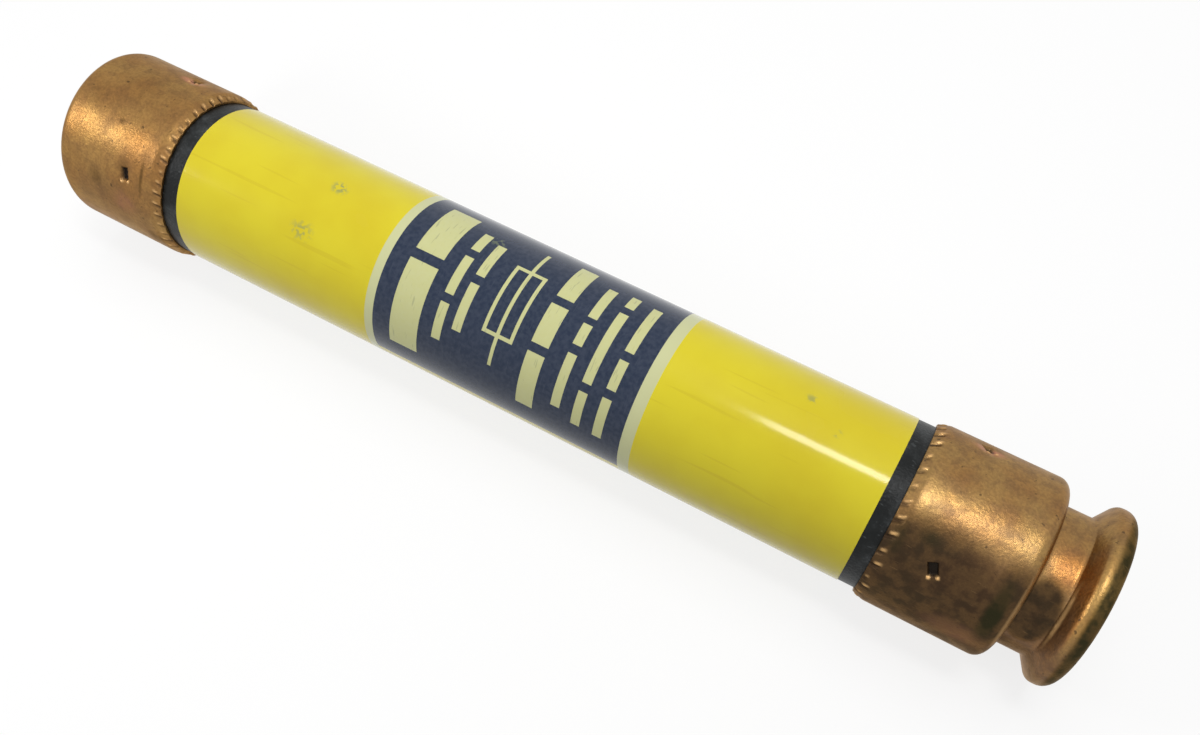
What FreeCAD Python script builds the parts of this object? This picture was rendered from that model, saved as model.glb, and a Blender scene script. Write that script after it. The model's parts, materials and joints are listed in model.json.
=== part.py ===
import FreeCAD, Part
import math
import os

import Sketcher
from FreeCAD import Placement, Rotation, Vector

# Dual-element cartridge fuse with ferrules, rejection type.
# X runs along the fuse from the plain ferrule to the rejection ferrule, Z is up, and the
# origin is on the axis at half the overall length. Millimetres.

SIZES = {
    # whole cartridge
    "overall_length": 127.0,
    "tube_diameter": 19.05,
    "tube_bore": 12.7,
    # ferrules, drawn from one thickness of sheet
    "ferrule_wall": 0.725,
    "ferrule_fit": 0.05,
    "plain_ferrule_length": 15.3,
    "rejection_ferrule_length": 21.75,
    "end_round": 1.35,
    "round_facets": 3,
    "flange_facets": 2,
    # rejection end: neck and rolled flange
    "groove_diameter": 15.8,
    "groove_width": 3.5,
    "flange_diameter": 20.1,
    "flange_thickness": 3.65,
    "flange_front_round": 1.6,
    "flare_length": 1.05,
    "flare_diameter": 18.8,
    # rim rolled down to the tube, with knurl marks round it
    "rim_depth": 0.4,
    "rim_taper": 1.3,
    "crimp_count": 42,
    "crimp_length": 1.2,
    "crimp_width": 0.8,
    "crimp_depth": 0.3,
    # square stakes that hold each ferrule on the tube
    "stake_count": 4,
    "stake_size": 1.35,
    "stake_depth": 0.45,
    "stake_from_plain_rim": 5.1,
    "stake_from_rejection_rim": 5.6,
    "plain_stake_turn": 51.0,
    "rejection_stake_turn": 48.5,
    # printed label
    "label_thickness": 0.1,
    "label_to_plain_rim": 2.1,
    "label_to_rejection_rim": 1.95,
    "label_overlap": 24.0,
    "label_seam_turn": 250.0,
    # ends of the filler space
    "washer_thickness": 0.8,
    "plain_solder_thickness": 0.5,
    "rejection_solder_thickness": 2.0,
    "slot_clearance": 0.1,
    # perforated copper links
    "link_width": 4.8,
    "link_thickness": 0.25,
    "link_tab": 5.0,
    "link_bend": 0.2,
    "bridge_width": 0.6,
    "window_width": 1.6,
    "window_length": 1.4,
    "notch_length": 1.2,
    "link_row_pitch": 6.0,
    "plain_link_rows": 6,
    "rejection_link_rows": 5,
    "first_row": 6.0,
    # overload chamber between two barrier discs
    "chamber_middle": 0.0,
    "chamber_length": 35.0,
    "barrier_thickness": 1.5,
    "bore_fit": 0.05,
    "liner_wall": 1.0,
    # heater and heat absorber
    "heater_start": 0.4,
    "heater_length": 7.5,
    "heater_width": 3.2,
    "heater_waist": 1.6,
    "heater_waist_length": 2.0,
    "heater_thickness": 0.3,
    "link_into_chamber": 2.4,
    "absorber_start": 5.2,
    "absorber_length": 8.0,
    "absorber_diameter": 5.5,
    "socket_diameter": 3.0,
    "socket_depth": 4.0,
    # trip plunger, its spring and barrel
    "plunger_diameter": 2.0,
    "plunger_tip_gap": 0.3,
    "plunger_tip_chamfer": 0.3,
    "collar_thickness": 1.2,
    "sliding_fit": 0.06,
    "trip_travel": 6.0,
    "stop_gap": 0.1,
    "spring_wire": 0.6,
    "spring_turns": 3.0,
    "wire_sides": 6,
    "spring_clearance": 0.35,
    "barrel_diameter": 8.0,
    "barrel_wall": 0.5,
    "barrel_length": 15.5,
    "cap_flange": 1.5,
    "cap_spigot": 1.2,
    "cap_slot_depth": 1.0,
}

doc = FreeCAD.newDocument("Fuse")
sheet = doc.addObject("Spreadsheet::Sheet", "Sizes")
for row, (alias, size) in enumerate(SIZES.items(), start=1):
    sheet.set(f"A{row}", alias)
    sheet.set(f"B{row}", str(size))
    sheet.setAlias(f"B{row}", alias)
doc.recompute()

# Radii that several pieces share.
TUBE_R = "(Sizes.tube_diameter / 2)"
BORE_R = "(Sizes.tube_bore / 2)"
SKIRT_IN = f"({TUBE_R} + Sizes.ferrule_fit)"
SKIRT_R = f"({SKIRT_IN} + Sizes.ferrule_wall)"
NECK_R = "(Sizes.groove_diameter / 2)"
NECK_IN = f"({NECK_R} - Sizes.ferrule_wall)"
FLANGE_R = "(Sizes.flange_diameter / 2)"
FLARE_R = "(Sizes.flare_diameter / 2)"
BEAD_IN = f"({FLANGE_R} - 2 * Sizes.ferrule_wall)"
LABEL_R = f"({TUBE_R} + Sizes.label_thickness)"
LINER_R = f"({BORE_R} - Sizes.bore_fit)"
BARREL_R = "(Sizes.barrel_diameter / 2)"
BARREL_IN = f"({BARREL_R} - Sizes.barrel_wall)"
PLUNGER_R = "(Sizes.plunger_diameter / 2)"
SOCKET_R = "(Sizes.socket_diameter / 2)"

# Stations along X, from the plain end inwards.
PLAIN_END = "(-Sizes.overall_length / 2)"
PLAIN_RIM = f"({PLAIN_END} + Sizes.plain_ferrule_length)"
PLAIN_FLOOR = f"({PLAIN_END} + Sizes.ferrule_wall)"
PLAIN_WASHER = f"({PLAIN_FLOOR} + Sizes.plain_solder_thickness)"
TUBE_LEFT = f"({PLAIN_WASHER} + Sizes.washer_thickness)"

# Stations along X, from the rejection end inwards.
REJECTION_END = "(Sizes.overall_length / 2)"
REJECTION_RIM = f"({REJECTION_END} - Sizes.rejection_ferrule_length)"
FLANGE_BACK = f"({REJECTION_END} - Sizes.flange_thickness)"
STEP_FACE = f"({FLANGE_BACK} - Sizes.groove_width)"
STEP_FLOOR = f"({STEP_FACE} - Sizes.ferrule_wall)"
TUBE_RIGHT = f"({STEP_FLOOR} - Sizes.washer_thickness)"

# Stations of the overload chamber.
CHAMBER_LEFT = "(Sizes.chamber_middle - Sizes.chamber_length / 2)"
CHAMBER_RIGHT = "(Sizes.chamber_middle + Sizes.chamber_length / 2)"
ABSORBER_LEFT = f"({CHAMBER_LEFT} + Sizes.absorber_start)"
ABSORBER_RIGHT = f"({ABSORBER_LEFT} + Sizes.absorber_length)"
SOCKET_FLOOR = f"({ABSORBER_RIGHT} - Sizes.socket_depth)"
BARREL_RIGHT = f"({CHAMBER_RIGHT} - Sizes.cap_flange)"
BARREL_LEFT = f"({BARREL_RIGHT} - Sizes.barrel_length)"
BARREL_FLOOR = f"({BARREL_LEFT} + Sizes.barrel_wall)"
SPIGOT_FACE = f"({BARREL_RIGHT} - Sizes.cap_spigot)"
COLLAR_RIGHT = f"({SPIGOT_FACE} - Sizes.stop_gap - Sizes.trip_travel)"
COLLAR_LEFT = f"({COLLAR_RIGHT} - Sizes.collar_thickness)"

# Half the link's thickness: it lies across the axis.
HALF_LINK = "(Sizes.link_thickness / 2)"


def value(expression):
    """What an expression on the sheet comes to."""
    return float(sheet.evalExpression(expression))


def new_body(name):
    body = doc.addObject("PartDesign::Body", name)
    body.Label = name
    return body


def origin_part(body, role):
    """The plane or axis of the body's own origin that has this role."""
    return next(item for item in body.Origin.OriginFeatures if item.Role == role)


def new_sketch(body, name, plane="XZ_Plane", lift="0", turn="0"):
    """A sketch on an origin plane, lifted along its normal after a turn about the fuse's axis."""
    sketch = body.newObject("Sketcher::SketchObject", name)
    sketch.AttachmentSupport = (origin_part(body, plane), [""])
    sketch.MapMode = "FlatFace"
    sketch.AttachmentOffset = Placement(Vector(0, 0, 0), Rotation(Vector(1, 0, 0), value(turn)))
    sketch.setExpression("AttachmentOffset.Rotation.Angle", f"{turn} * 1 deg")
    sketch.setExpression("AttachmentOffset.Base.y", f"-({lift}) * sin({turn} * 1 deg)")
    sketch.setExpression("AttachmentOffset.Base.z", f"({lift}) * cos({turn} * 1 deg)")
    return sketch


def bind(sketch, kind, geometry, point, expression):
    """Hold a point's x or y, or an arc's radius, to an expression."""
    known = value(expression)
    if kind == "Radius":
        index = sketch.addConstraint(Sketcher.Constraint(kind, geometry, known))
    else:
        index = sketch.addConstraint(Sketcher.Constraint(kind, geometry, point, known))
    sketch.setExpression(f"Constraints[{index}]", expression)


def outline(sketch, corners):
    """Draw a closed outline. A corner is (x, y) or (x, y, radius), each an expression."""
    count = len(corners)
    places = [Vector(value(corner[0]), value(corner[1]), 0) for corner in corners]
    radii = [value(corner[2]) if len(corner) > 2 else 0.0 for corner in corners]
    ways = [(places[(i + 1) % count] - places[i]).normalize() for i in range(count)]
    trims = [radii[i] * math.tan(ways[i - 1].getAngle(ways[i]) / 2) for i in range(count)]
    lines = []
    for i in range(count):
        after = (i + 1) % count
        start = places[i] + ways[i] * trims[i]
        end = places[after] - ways[i] * trims[after]
        lines.append(sketch.addGeometry(Part.LineSegment(start, end), False))
    for i, corner in enumerate(corners):
        before = lines[i - 1]
        point = (lines[i], 1)
        if radii[i]:
            point = round_corner(sketch, before, lines[i], places[i], ways[i - 1], ways[i], radii[i])
            bind(sketch, "Radius", point[2], 0, corner[2])
        else:
            sketch.addConstraint(Sketcher.Constraint("Coincident", before, 2, lines[i], 1))
        bind(sketch, "DistanceX", point[0], point[1], corner[0])
        bind(sketch, "DistanceY", point[0], point[1], corner[1])


def round_corner(sketch, before, line, place, way_in, way_out, radius):
    """Join two lines by a tangent arc, and mark the corner that it rounds off."""
    turn = way_in.getAngle(way_out)
    trim = radius * math.tan(turn / 2)
    inwards = (way_out - way_in).normalize()
    middle = place + inwards * (radius / math.cos(turn / 2) - radius)
    start = place - way_in * trim
    end = place + way_out * trim
    arc = sketch.addGeometry(Part.Arc(start, middle, end), False)
    left_turn = way_in.cross(way_out).z > 0
    first, last = (1, 2) if left_turn else (2, 1)
    sketch.addConstraint(Sketcher.Constraint("Tangent", before, 2, arc, first))
    sketch.addConstraint(Sketcher.Constraint("Tangent", arc, last, line, 1))
    mark = sketch.addGeometry(Part.Point(place), True)
    sketch.addConstraint(Sketcher.Constraint("PointOnObject", mark, 1, before))
    sketch.addConstraint(Sketcher.Constraint("PointOnObject", mark, 1, line))
    return mark, 1, arc


def box_corners(x_from, x_to, y_from, y_to):
    return [(x_from, y_from), (x_to, y_from), (x_to, y_to), (x_from, y_to)]


def eased_corner(x, radius, size, inwards, facets="Sizes.round_facets"):
    """A rounded outer corner in a few facets, from the flat face at x to the wall at radius.

    inwards is the sign of X from the flat face along the wall."""
    steps = round(value(facets))
    corners = []
    for step in range(steps + 1):
        angle = math.radians(90 * step / steps)
        along = round(1 - math.cos(angle), 4)
        below = round(1 - math.sin(angle), 4)
        corners.append((f"{x} + {inwards} * {along} * {size}", f"{radius} - {below} * {size}"))
    return corners


def revolve(body, name, corners, angle="360", turn="0"):
    """Turn an outline of (x, radius) corners about the fuse's axis."""
    sketch = new_sketch(body, name + "Sketch", turn=turn)
    outline(sketch, corners)
    feature = body.newObject("PartDesign::Revolution", name)
    feature.Profile = sketch
    feature.ReferenceAxis = (sketch, ["H_Axis"])
    feature.setExpression("Angle", angle)
    return feature


def pad(body, name, sketch, length, both_ways=False):
    feature = body.newObject("PartDesign::Pad", name)
    feature.Profile = sketch
    feature.setExpression("Length", length)
    feature.Midplane = both_ways
    return feature


def pocket(body, name, sketch, length, both_ways=False, along_normal=False, slant=None):
    """Cut a sketch's outline out of the body, and stop if nothing was cut.

    slant is the way along X and the rise per length of a cut that climbs as it goes."""
    doc.recompute()
    before = body.Shape.Volume
    feature = body.newObject("PartDesign::Pocket", name)
    feature.Profile = sketch
    feature.setExpression("Length", length)
    feature.Midplane = both_ways
    feature.Reversed = along_normal
    if slant:
        feature.UseCustomVector = True
        feature.AlongSketchNormal = False
        feature.Direction = Vector(value(slant[0]), 0, value(slant[1]))
        feature.setExpression("Direction.z", slant[1])
    doc.recompute()
    if body.Shape.Volume >= before:
        raise RuntimeError(f"{name} cuts nothing")
    return feature


def round_the_axis(body, name, original, count):
    """Repeat a feature all round the fuse's axis."""
    pattern = body.newObject("PartDesign::PolarPattern", name)
    pattern.Originals = [original]
    pattern.Axis = (origin_part(body, "X_Axis"), [""])
    pattern.Angle = 360
    pattern.setExpression("Occurrences", count)
    body.Tip = pattern
    return pattern


def crimp_rim(body, rim, inwards):
    """Knurl marks round a ferrule's rim: V notches that run out up its taper.

    inwards is the sign of X from the rim to the closed end."""
    lead = "Sizes.crimp_depth"
    slope = "((Sizes.rim_depth + Sizes.crimp_depth) / Sizes.crimp_length)"
    root = f"({SKIRT_R} - Sizes.rim_depth - Sizes.crimp_depth - {slope} * {lead})"
    top = f"({SKIRT_R} + Sizes.crimp_depth)"
    half = f"(Sizes.crimp_width / 2 * ({top} - {root}) / Sizes.crimp_depth)"
    sketch = new_sketch(body, "CrimpSketch", plane="YZ_Plane", lift=f"{rim} - {inwards} * {lead}")
    outline(sketch, [("0", root), (half, top), (f"-{half}", top)])
    mark = pocket(body, "Crimp", sketch, "Sizes.rim_taper * 2", slant=(inwards, slope))
    round_the_axis(body, "Crimps", mark, "Sizes.crimp_count")


def stake_holes(body, name, place, turn, floor):
    """Square punch marks round the axis, open outwards from the radius floor."""
    half = "Sizes.stake_size / 2"
    sketch = new_sketch(body, name + "Sketch", plane="XY_Plane", lift=floor, turn=turn)
    outline(sketch, box_corners(f"{place} - {half}", f"{place} + {half}", f"-{half}", half))
    hole = pocket(body, name, sketch, "Sizes.tube_diameter", along_normal=True)
    round_the_axis(body, name + "s", hole, "Sizes.stake_count")


PLAIN_STAKE = f"({PLAIN_RIM} - Sizes.stake_from_plain_rim)"
REJECTION_STAKE = f"({REJECTION_RIM} + Sizes.stake_from_rejection_rim)"
PLAIN_STAKE_TURN = "(Sizes.plain_stake_turn - 90)"
REJECTION_STAKE_TURN = "(Sizes.rejection_stake_turn - 90)"


def make_cartridge_tube():
    """Tube with a dimple under each stake."""
    body = new_body("cartridge_tube")
    revolve(body, "Wall", box_corners(TUBE_LEFT, TUBE_RIGHT, BORE_R, TUBE_R))
    floor = f"({TUBE_R} - Sizes.stake_depth)"
    stake_holes(body, "PlainDimple", PLAIN_STAKE, PLAIN_STAKE_TURN, floor)
    stake_holes(body, "RejectionDimple", REJECTION_STAKE, REJECTION_STAKE_TURN, floor)
    return body


def make_label_wrap():
    """Thin label wound once round the tube, with its end lapped over its start."""
    body = new_body("label_wrap")
    left = f"{PLAIN_RIM} + Sizes.label_to_plain_rim"
    right = f"{REJECTION_RIM} - Sizes.label_to_rejection_rim"
    revolve(body, "Wrap", box_corners(left, right, TUBE_R, LABEL_R))
    lap = box_corners(left, right, LABEL_R, f"{LABEL_R} + Sizes.label_thickness")
    revolve(body, "Lap", lap, angle="Sizes.label_overlap", turn="Sizes.label_seam_turn")
    return body


def make_plain_ferrule():
    """Drawn cup on the plain end."""
    body = new_body("plain_ferrule")
    revolve(body, "Cup", [
        (PLAIN_END, "0"),
        (PLAIN_FLOOR, "0"),
        (PLAIN_FLOOR, SKIRT_IN),
        (PLAIN_RIM, SKIRT_IN),
        (PLAIN_RIM, f"{SKIRT_R} - Sizes.rim_depth"),
        (f"{PLAIN_RIM} - Sizes.rim_taper", SKIRT_R),
        *reversed(eased_corner(PLAIN_END, SKIRT_R, "Sizes.end_round", "1")),
    ])
    stake_holes(body, "Stake", PLAIN_STAKE, PLAIN_STAKE_TURN, BORE_R)
    crimp_rim(body, PLAIN_RIM, "-1")
    return body


def make_rejection_ferrule():
    """Drawn cup with a step, a neck that a rejection clip enters, and a hollow flared flange."""
    body = new_body("rejection_ferrule")
    bead_front = f"({REJECTION_END} - Sizes.ferrule_wall)"
    flare = f"(Sizes.flare_length / ({FLARE_R} - {NECK_R}))"
    inner_line = f"({FLANGE_BACK} + Sizes.ferrule_wall * sqrt(1 + {flare} ^ 2))"
    revolve(body, "Cup", [
        (REJECTION_END, "0"),
        *eased_corner(REJECTION_END, FLANGE_R, "Sizes.flange_front_round", "-1", "Sizes.flange_facets"),
        (f"{FLANGE_BACK} + Sizes.flare_length", FLARE_R),
        (FLANGE_BACK, NECK_R),
        (STEP_FACE, NECK_R),
        *eased_corner(STEP_FACE, SKIRT_R, "Sizes.end_round", "-1"),
        (f"{REJECTION_RIM} + Sizes.rim_taper", SKIRT_R),
        (REJECTION_RIM, f"{SKIRT_R} - Sizes.rim_depth"),
        (REJECTION_RIM, SKIRT_IN),
        (STEP_FLOOR, SKIRT_IN),
        (STEP_FLOOR, NECK_IN),
        (f"{inner_line} - Sizes.ferrule_wall * {flare}", NECK_IN),
        (f"{inner_line} + ({BEAD_IN} - {NECK_R}) * {flare}", BEAD_IN),
        (bead_front, BEAD_IN),
        (bead_front, "0"),
    ])
    stake_holes(body, "Stake", REJECTION_STAKE, REJECTION_STAKE_TURN, BORE_R)
    crimp_rim(body, REJECTION_RIM, "1")
    return body


def make_end_washer(name, left):
    """Disc on the tube's end, with a slot that the fuse link passes through."""
    body = new_body(name)
    right = f"{left} + Sizes.washer_thickness"
    revolve(body, "Disc", box_corners(left, right, "0", TUBE_R))
    link_slot(body, left, "Sizes.washer_thickness")
    return body


def link_slot(body, left, depth, clearance="Sizes.slot_clearance"):
    """Slot across the axis for the link, cut from the station left towards +X."""
    half_width = f"(Sizes.link_width / 2 + {clearance})"
    half_height = f"({HALF_LINK} + {clearance})"
    sketch = new_sketch(body, "SlotSketch", plane="YZ_Plane", lift=left)
    corners = box_corners(f"-{half_width}", half_width, f"-{half_height}", half_height)
    outline(sketch, corners)
    pocket(body, "Slot", sketch, depth, along_normal=True)


def tab_pocket(body, left):
    """Room for the link's bent tab in the solder, from the station left towards +X."""
    half_width = "Sizes.link_width / 2"
    sketch = new_sketch(body, "TabSketch", plane="YZ_Plane", lift=left)
    outline(sketch, box_corners(f"-{half_width}", half_width, f"-{HALF_LINK}", "Sizes.link_tab"))
    pocket(body, "TabRoom", sketch, "Sizes.link_thickness", along_normal=True)


def make_plain_end_solder():
    body = new_body("plain_end_solder")
    revolve(body, "Puddle", box_corners(PLAIN_FLOOR, PLAIN_WASHER, "0", SKIRT_IN))
    tab_pocket(body, f"{PLAIN_WASHER} - Sizes.link_thickness")
    return body


def make_rejection_end_solder():
    """Plug in the neck, on the washer's outer face."""
    body = new_body("rejection_end_solder")
    right = f"{STEP_FLOOR} + Sizes.rejection_solder_thickness"
    revolve(body, "Plug", box_corners(STEP_FLOOR, right, "0", NECK_IN))
    tab_pocket(body, STEP_FLOOR)
    return body


def make_fuse_link(name, washer_face, inner_end, outwards, rows):
    """Perforated strip, with a tab bent up over the washer. outwards is the sign of X there."""
    body = new_body(name)
    tab_face = f"({washer_face} + {outwards} * Sizes.link_thickness)"
    sketch = new_sketch(body, "StripSketch")
    outline(sketch, [
        (tab_face, f"-{HALF_LINK}", "Sizes.link_bend"),
        (inner_end, f"-{HALF_LINK}"),
        (inner_end, HALF_LINK),
        (washer_face, HALF_LINK),
        (washer_face, "Sizes.link_tab"),
        (tab_face, "Sizes.link_tab"),
    ])
    pad(body, "Strip", sketch, "Sizes.link_width", both_ways=True)
    row = new_sketch(body, "RowSketch", plane="XY_Plane")
    bridge_row(row, f"({washer_face} - {outwards} * Sizes.first_row)")
    gaps = pocket(body, "Row", row, "Sizes.link_thickness * 2", both_ways=True)
    pattern = body.newObject("PartDesign::LinearPattern", "Rows")
    pattern.Originals = [gaps]
    pattern.Direction = (origin_part(body, "X_Axis"), [""])
    pattern.Reversed = outwards == "1"
    pattern.setExpression("Length", f"({rows} - 1) * Sizes.link_row_pitch")
    pattern.setExpression("Occurrences", rows)
    body.Tip = pattern
    return body


def bridge_row(sketch, x):
    """A diamond window and two edge notches, which leave two narrow bridges of metal."""
    window = "Sizes.window_width / 2"
    reach = "Sizes.window_length / 2"
    outline(sketch, [(f"{x} - {reach}", "0"), (x, f"-{window}"), (f"{x} + {reach}", "0"), (x, window)])
    half_notch = "Sizes.notch_length / 2"
    root = f"({window} + Sizes.bridge_width)"
    edge = "(Sizes.link_width / 2 + Sizes.slot_clearance)"
    for side in ("-1", "1"):
        outline(sketch, [
            (f"{x} - {half_notch}", f"{side} * {edge}"),
            (x, f"{side} * {root}"),
            (f"{x} + {half_notch}", f"{side} * {edge}"),
        ])


def make_sand_fill(name, left, right):
    """Filler packed round the link, as one closed solid."""
    body = new_body(name)
    revolve(body, "Fill", box_corners(left, right, "0", BORE_R))
    link_slot(body, left, f"{right} - {left}", clearance="0")
    return body


def make_barrier_disc(name, left):
    body = new_body(name)
    right = f"{left} + Sizes.barrier_thickness"
    revolve(body, "Disc", box_corners(left, right, "0", LINER_R))
    link_slot(body, left, "Sizes.barrier_thickness")
    return body


def make_chamber_liner():
    """Sleeve that holds the two barrier discs apart."""
    body = new_body("chamber_liner")
    inner = f"{LINER_R} - Sizes.liner_wall"
    revolve(body, "Sleeve", box_corners(CHAMBER_LEFT, CHAMBER_RIGHT, inner, LINER_R))
    return body


def make_heater_strip():
    """Narrow-waisted strip that lies on the link's end and enters the absorber's slot."""
    body = new_body("heater_strip")
    left = f"({CHAMBER_LEFT} + Sizes.heater_start)"
    right = f"({left} + Sizes.heater_length)"
    waist_left = f"({CHAMBER_LEFT} + Sizes.link_into_chamber)"
    waist_right = f"({waist_left} + Sizes.heater_waist_length)"
    broad = "Sizes.heater_width / 2"
    narrow = "Sizes.heater_waist / 2"
    sketch = new_sketch(body, "PlanSketch", plane="XY_Plane", lift=HALF_LINK)
    outline(sketch, [
        (left, f"-{broad}"),
        (waist_left, f"-{broad}"),
        (waist_left, f"-{narrow}"),
        (waist_right, f"-{narrow}"),
        (waist_right, f"-{broad}"),
        (right, f"-{broad}"),
        (right, broad),
        (waist_right, broad),
        (waist_right, narrow),
        (waist_left, narrow),
        (waist_left, broad),
        (left, broad),
    ])
    pad(body, "Strip", sketch, "Sizes.heater_thickness")
    return body


def make_heat_absorber():
    """Copper block, slotted for the heater and bored for the plunger's tip."""
    body = new_body("heat_absorber")
    radius = "Sizes.absorber_diameter / 2"
    revolve(body, "Block", [
        (ABSORBER_LEFT, "0"),
        (SOCKET_FLOOR, "0"),
        (SOCKET_FLOOR, SOCKET_R),
        (ABSORBER_RIGHT, SOCKET_R),
        (ABSORBER_RIGHT, radius),
        (ABSORBER_LEFT, radius),
    ])
    half = "Sizes.heater_width / 2"
    sketch = new_sketch(body, "SlotSketch", plane="YZ_Plane", lift=ABSORBER_LEFT)
    top = f"{HALF_LINK} + Sizes.heater_thickness"
    outline(sketch, box_corners(f"-{half}", half, HALF_LINK, top))
    depth = "Sizes.heater_start + Sizes.heater_length - Sizes.absorber_start"
    pocket(body, "Slot", sketch, depth, along_normal=True)
    return body


def make_trip_solder():
    """Ring of low-melting alloy between the plunger's tip and the socket."""
    body = new_body("trip_solder")
    inner = f"{PLUNGER_R} + Sizes.sliding_fit"
    revolve(body, "Ring", box_corners(SOCKET_FLOOR, ABSORBER_RIGHT, inner, SOCKET_R))
    return body


def make_trip_plunger():
    """Rod with a collar, turned in one piece. It slides towards +X when the alloy melts."""
    body = new_body("trip_plunger")
    tip = f"({SOCKET_FLOOR} + Sizes.plunger_tip_gap)"
    collar_r = f"{BARREL_IN} - Sizes.sliding_fit"
    revolve(body, "Rod", [
        (tip, "0"),
        (COLLAR_RIGHT, "0"),
        (COLLAR_RIGHT, collar_r),
        (COLLAR_LEFT, collar_r),
        (COLLAR_LEFT, PLUNGER_R),
        (f"{tip} + Sizes.plunger_tip_chamfer", PLUNGER_R),
        (tip, f"{PLUNGER_R} - Sizes.plunger_tip_chamfer"),
    ])
    return body


def make_trip_spring():
    """Compression spring between the barrel's floor and the collar."""
    body = new_body("trip_spring")
    wire_r = "Sizes.spring_wire / 2"
    coil_r = f"{BARREL_IN} - Sizes.spring_clearance - {wire_r}"
    sketch = new_sketch(body, "WireSketch")
    sides = round(value("Sizes.wire_sides"))
    section = []
    for side in range(sides):
        angle = 2 * math.pi * side / sides
        along = round(math.cos(angle), 4)
        across = round(math.sin(angle), 4)
        section.append((f"{BARREL_FLOOR} + {wire_r} * {1 + along}", f"{coil_r} + {wire_r} * {across}"))
    outline(sketch, section)
    spring = body.newObject("PartDesign::AdditiveHelix", "Coil")
    spring.Profile = sketch
    spring.ReferenceAxis = (sketch, ["H_Axis"])
    spring.Mode = "height-turns-angle"
    spring.setExpression("Height", f"{COLLAR_LEFT} - {BARREL_FLOOR} - Sizes.spring_wire")
    spring.setExpression("Turns", "Sizes.spring_turns")
    return body


def make_trip_barrel():
    """Barrel with a floor that guides the rod."""
    body = new_body("trip_barrel")
    guide = f"{PLUNGER_R} + Sizes.sliding_fit"
    revolve(body, "Shell", [
        (BARREL_LEFT, guide),
        (BARREL_FLOOR, guide),
        (BARREL_FLOOR, BARREL_IN),
        (BARREL_RIGHT, BARREL_IN),
        (BARREL_RIGHT, BARREL_R),
        (BARREL_LEFT, BARREL_R),
    ])
    return body


def make_barrel_cap():
    """Plug that closes the barrel and takes the second link's end in a slot."""
    body = new_body("barrel_cap")
    revolve(body, "Plug", [
        (SPIGOT_FACE, "0"),
        (CHAMBER_RIGHT, "0"),
        (CHAMBER_RIGHT, BARREL_R),
        (BARREL_RIGHT, BARREL_R),
        (BARREL_RIGHT, BARREL_IN),
        (SPIGOT_FACE, BARREL_IN),
    ])
    slot_floor = f"{CHAMBER_RIGHT} - Sizes.cap_slot_depth"
    link_slot(body, slot_floor, "Sizes.cap_slot_depth", clearance="0")
    return body


plain_link_end = f"({CHAMBER_LEFT} + Sizes.link_into_chamber)"
rejection_link_end = f"({CHAMBER_RIGHT} - Sizes.cap_slot_depth)"
plain_barrier = f"({CHAMBER_LEFT} - Sizes.barrier_thickness)"
rejection_sand = f"({CHAMBER_RIGHT} + Sizes.barrier_thickness)"

sub_parts = [
    make_cartridge_tube(),
    make_label_wrap(),
    make_plain_ferrule(),
    make_rejection_ferrule(),
    make_end_washer("plain_end_washer", PLAIN_WASHER),
    make_end_washer("rejection_end_washer", TUBE_RIGHT),
    make_plain_end_solder(),
    make_rejection_end_solder(),
    make_fuse_link("plain_fuse_link", PLAIN_WASHER, plain_link_end, "-1", "Sizes.plain_link_rows"),
    make_fuse_link("rejection_fuse_link", STEP_FLOOR, rejection_link_end, "1", "Sizes.rejection_link_rows"),
    make_sand_fill("plain_sand_fill", TUBE_LEFT, plain_barrier),
    make_sand_fill("rejection_sand_fill", rejection_sand, TUBE_RIGHT),
    make_barrier_disc("plain_barrier_disc", plain_barrier),
    make_barrier_disc("rejection_barrier_disc", CHAMBER_RIGHT),
    make_chamber_liner(),
    make_heater_strip(),
    make_heat_absorber(),
    make_trip_solder(),
    make_trip_plunger(),
    make_trip_spring(),
    make_trip_barrel(),
    make_barrel_cap(),
]

doc.recompute()

for item in doc.Objects:
    if "Invalid" in item.State or "Error" in item.State:
        raise RuntimeError(f"{item.Name} failed: {item.State}")

for piece in sub_parts:
    if piece.Shape.isNull() or not piece.Shape.isValid():
        raise RuntimeError(f"{piece.Label} has no valid shape")
    if len(piece.Shape.Solids) != 1:
        raise RuntimeError(f"{piece.Label} has {len(piece.Shape.Solids)} solids")

os.makedirs("parts", exist_ok=True)
for piece in sub_parts:
    piece.Shape.exportStep(os.path.join("parts", piece.Label + ".step"))
    print(f"{piece.Label}: {piece.Shape.Volume:.1f} mm3")
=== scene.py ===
# %% [markdown]
# A cartridge fuse, dressed for a close look.
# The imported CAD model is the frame: it says where every piece is and how the trip plunger slides.
# This script only gives that frame its looks: finely turned ferrules with their knurl and punch
# marks, a printed label, aged metal, and plain light on a pale floor.

import json
import math

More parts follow.
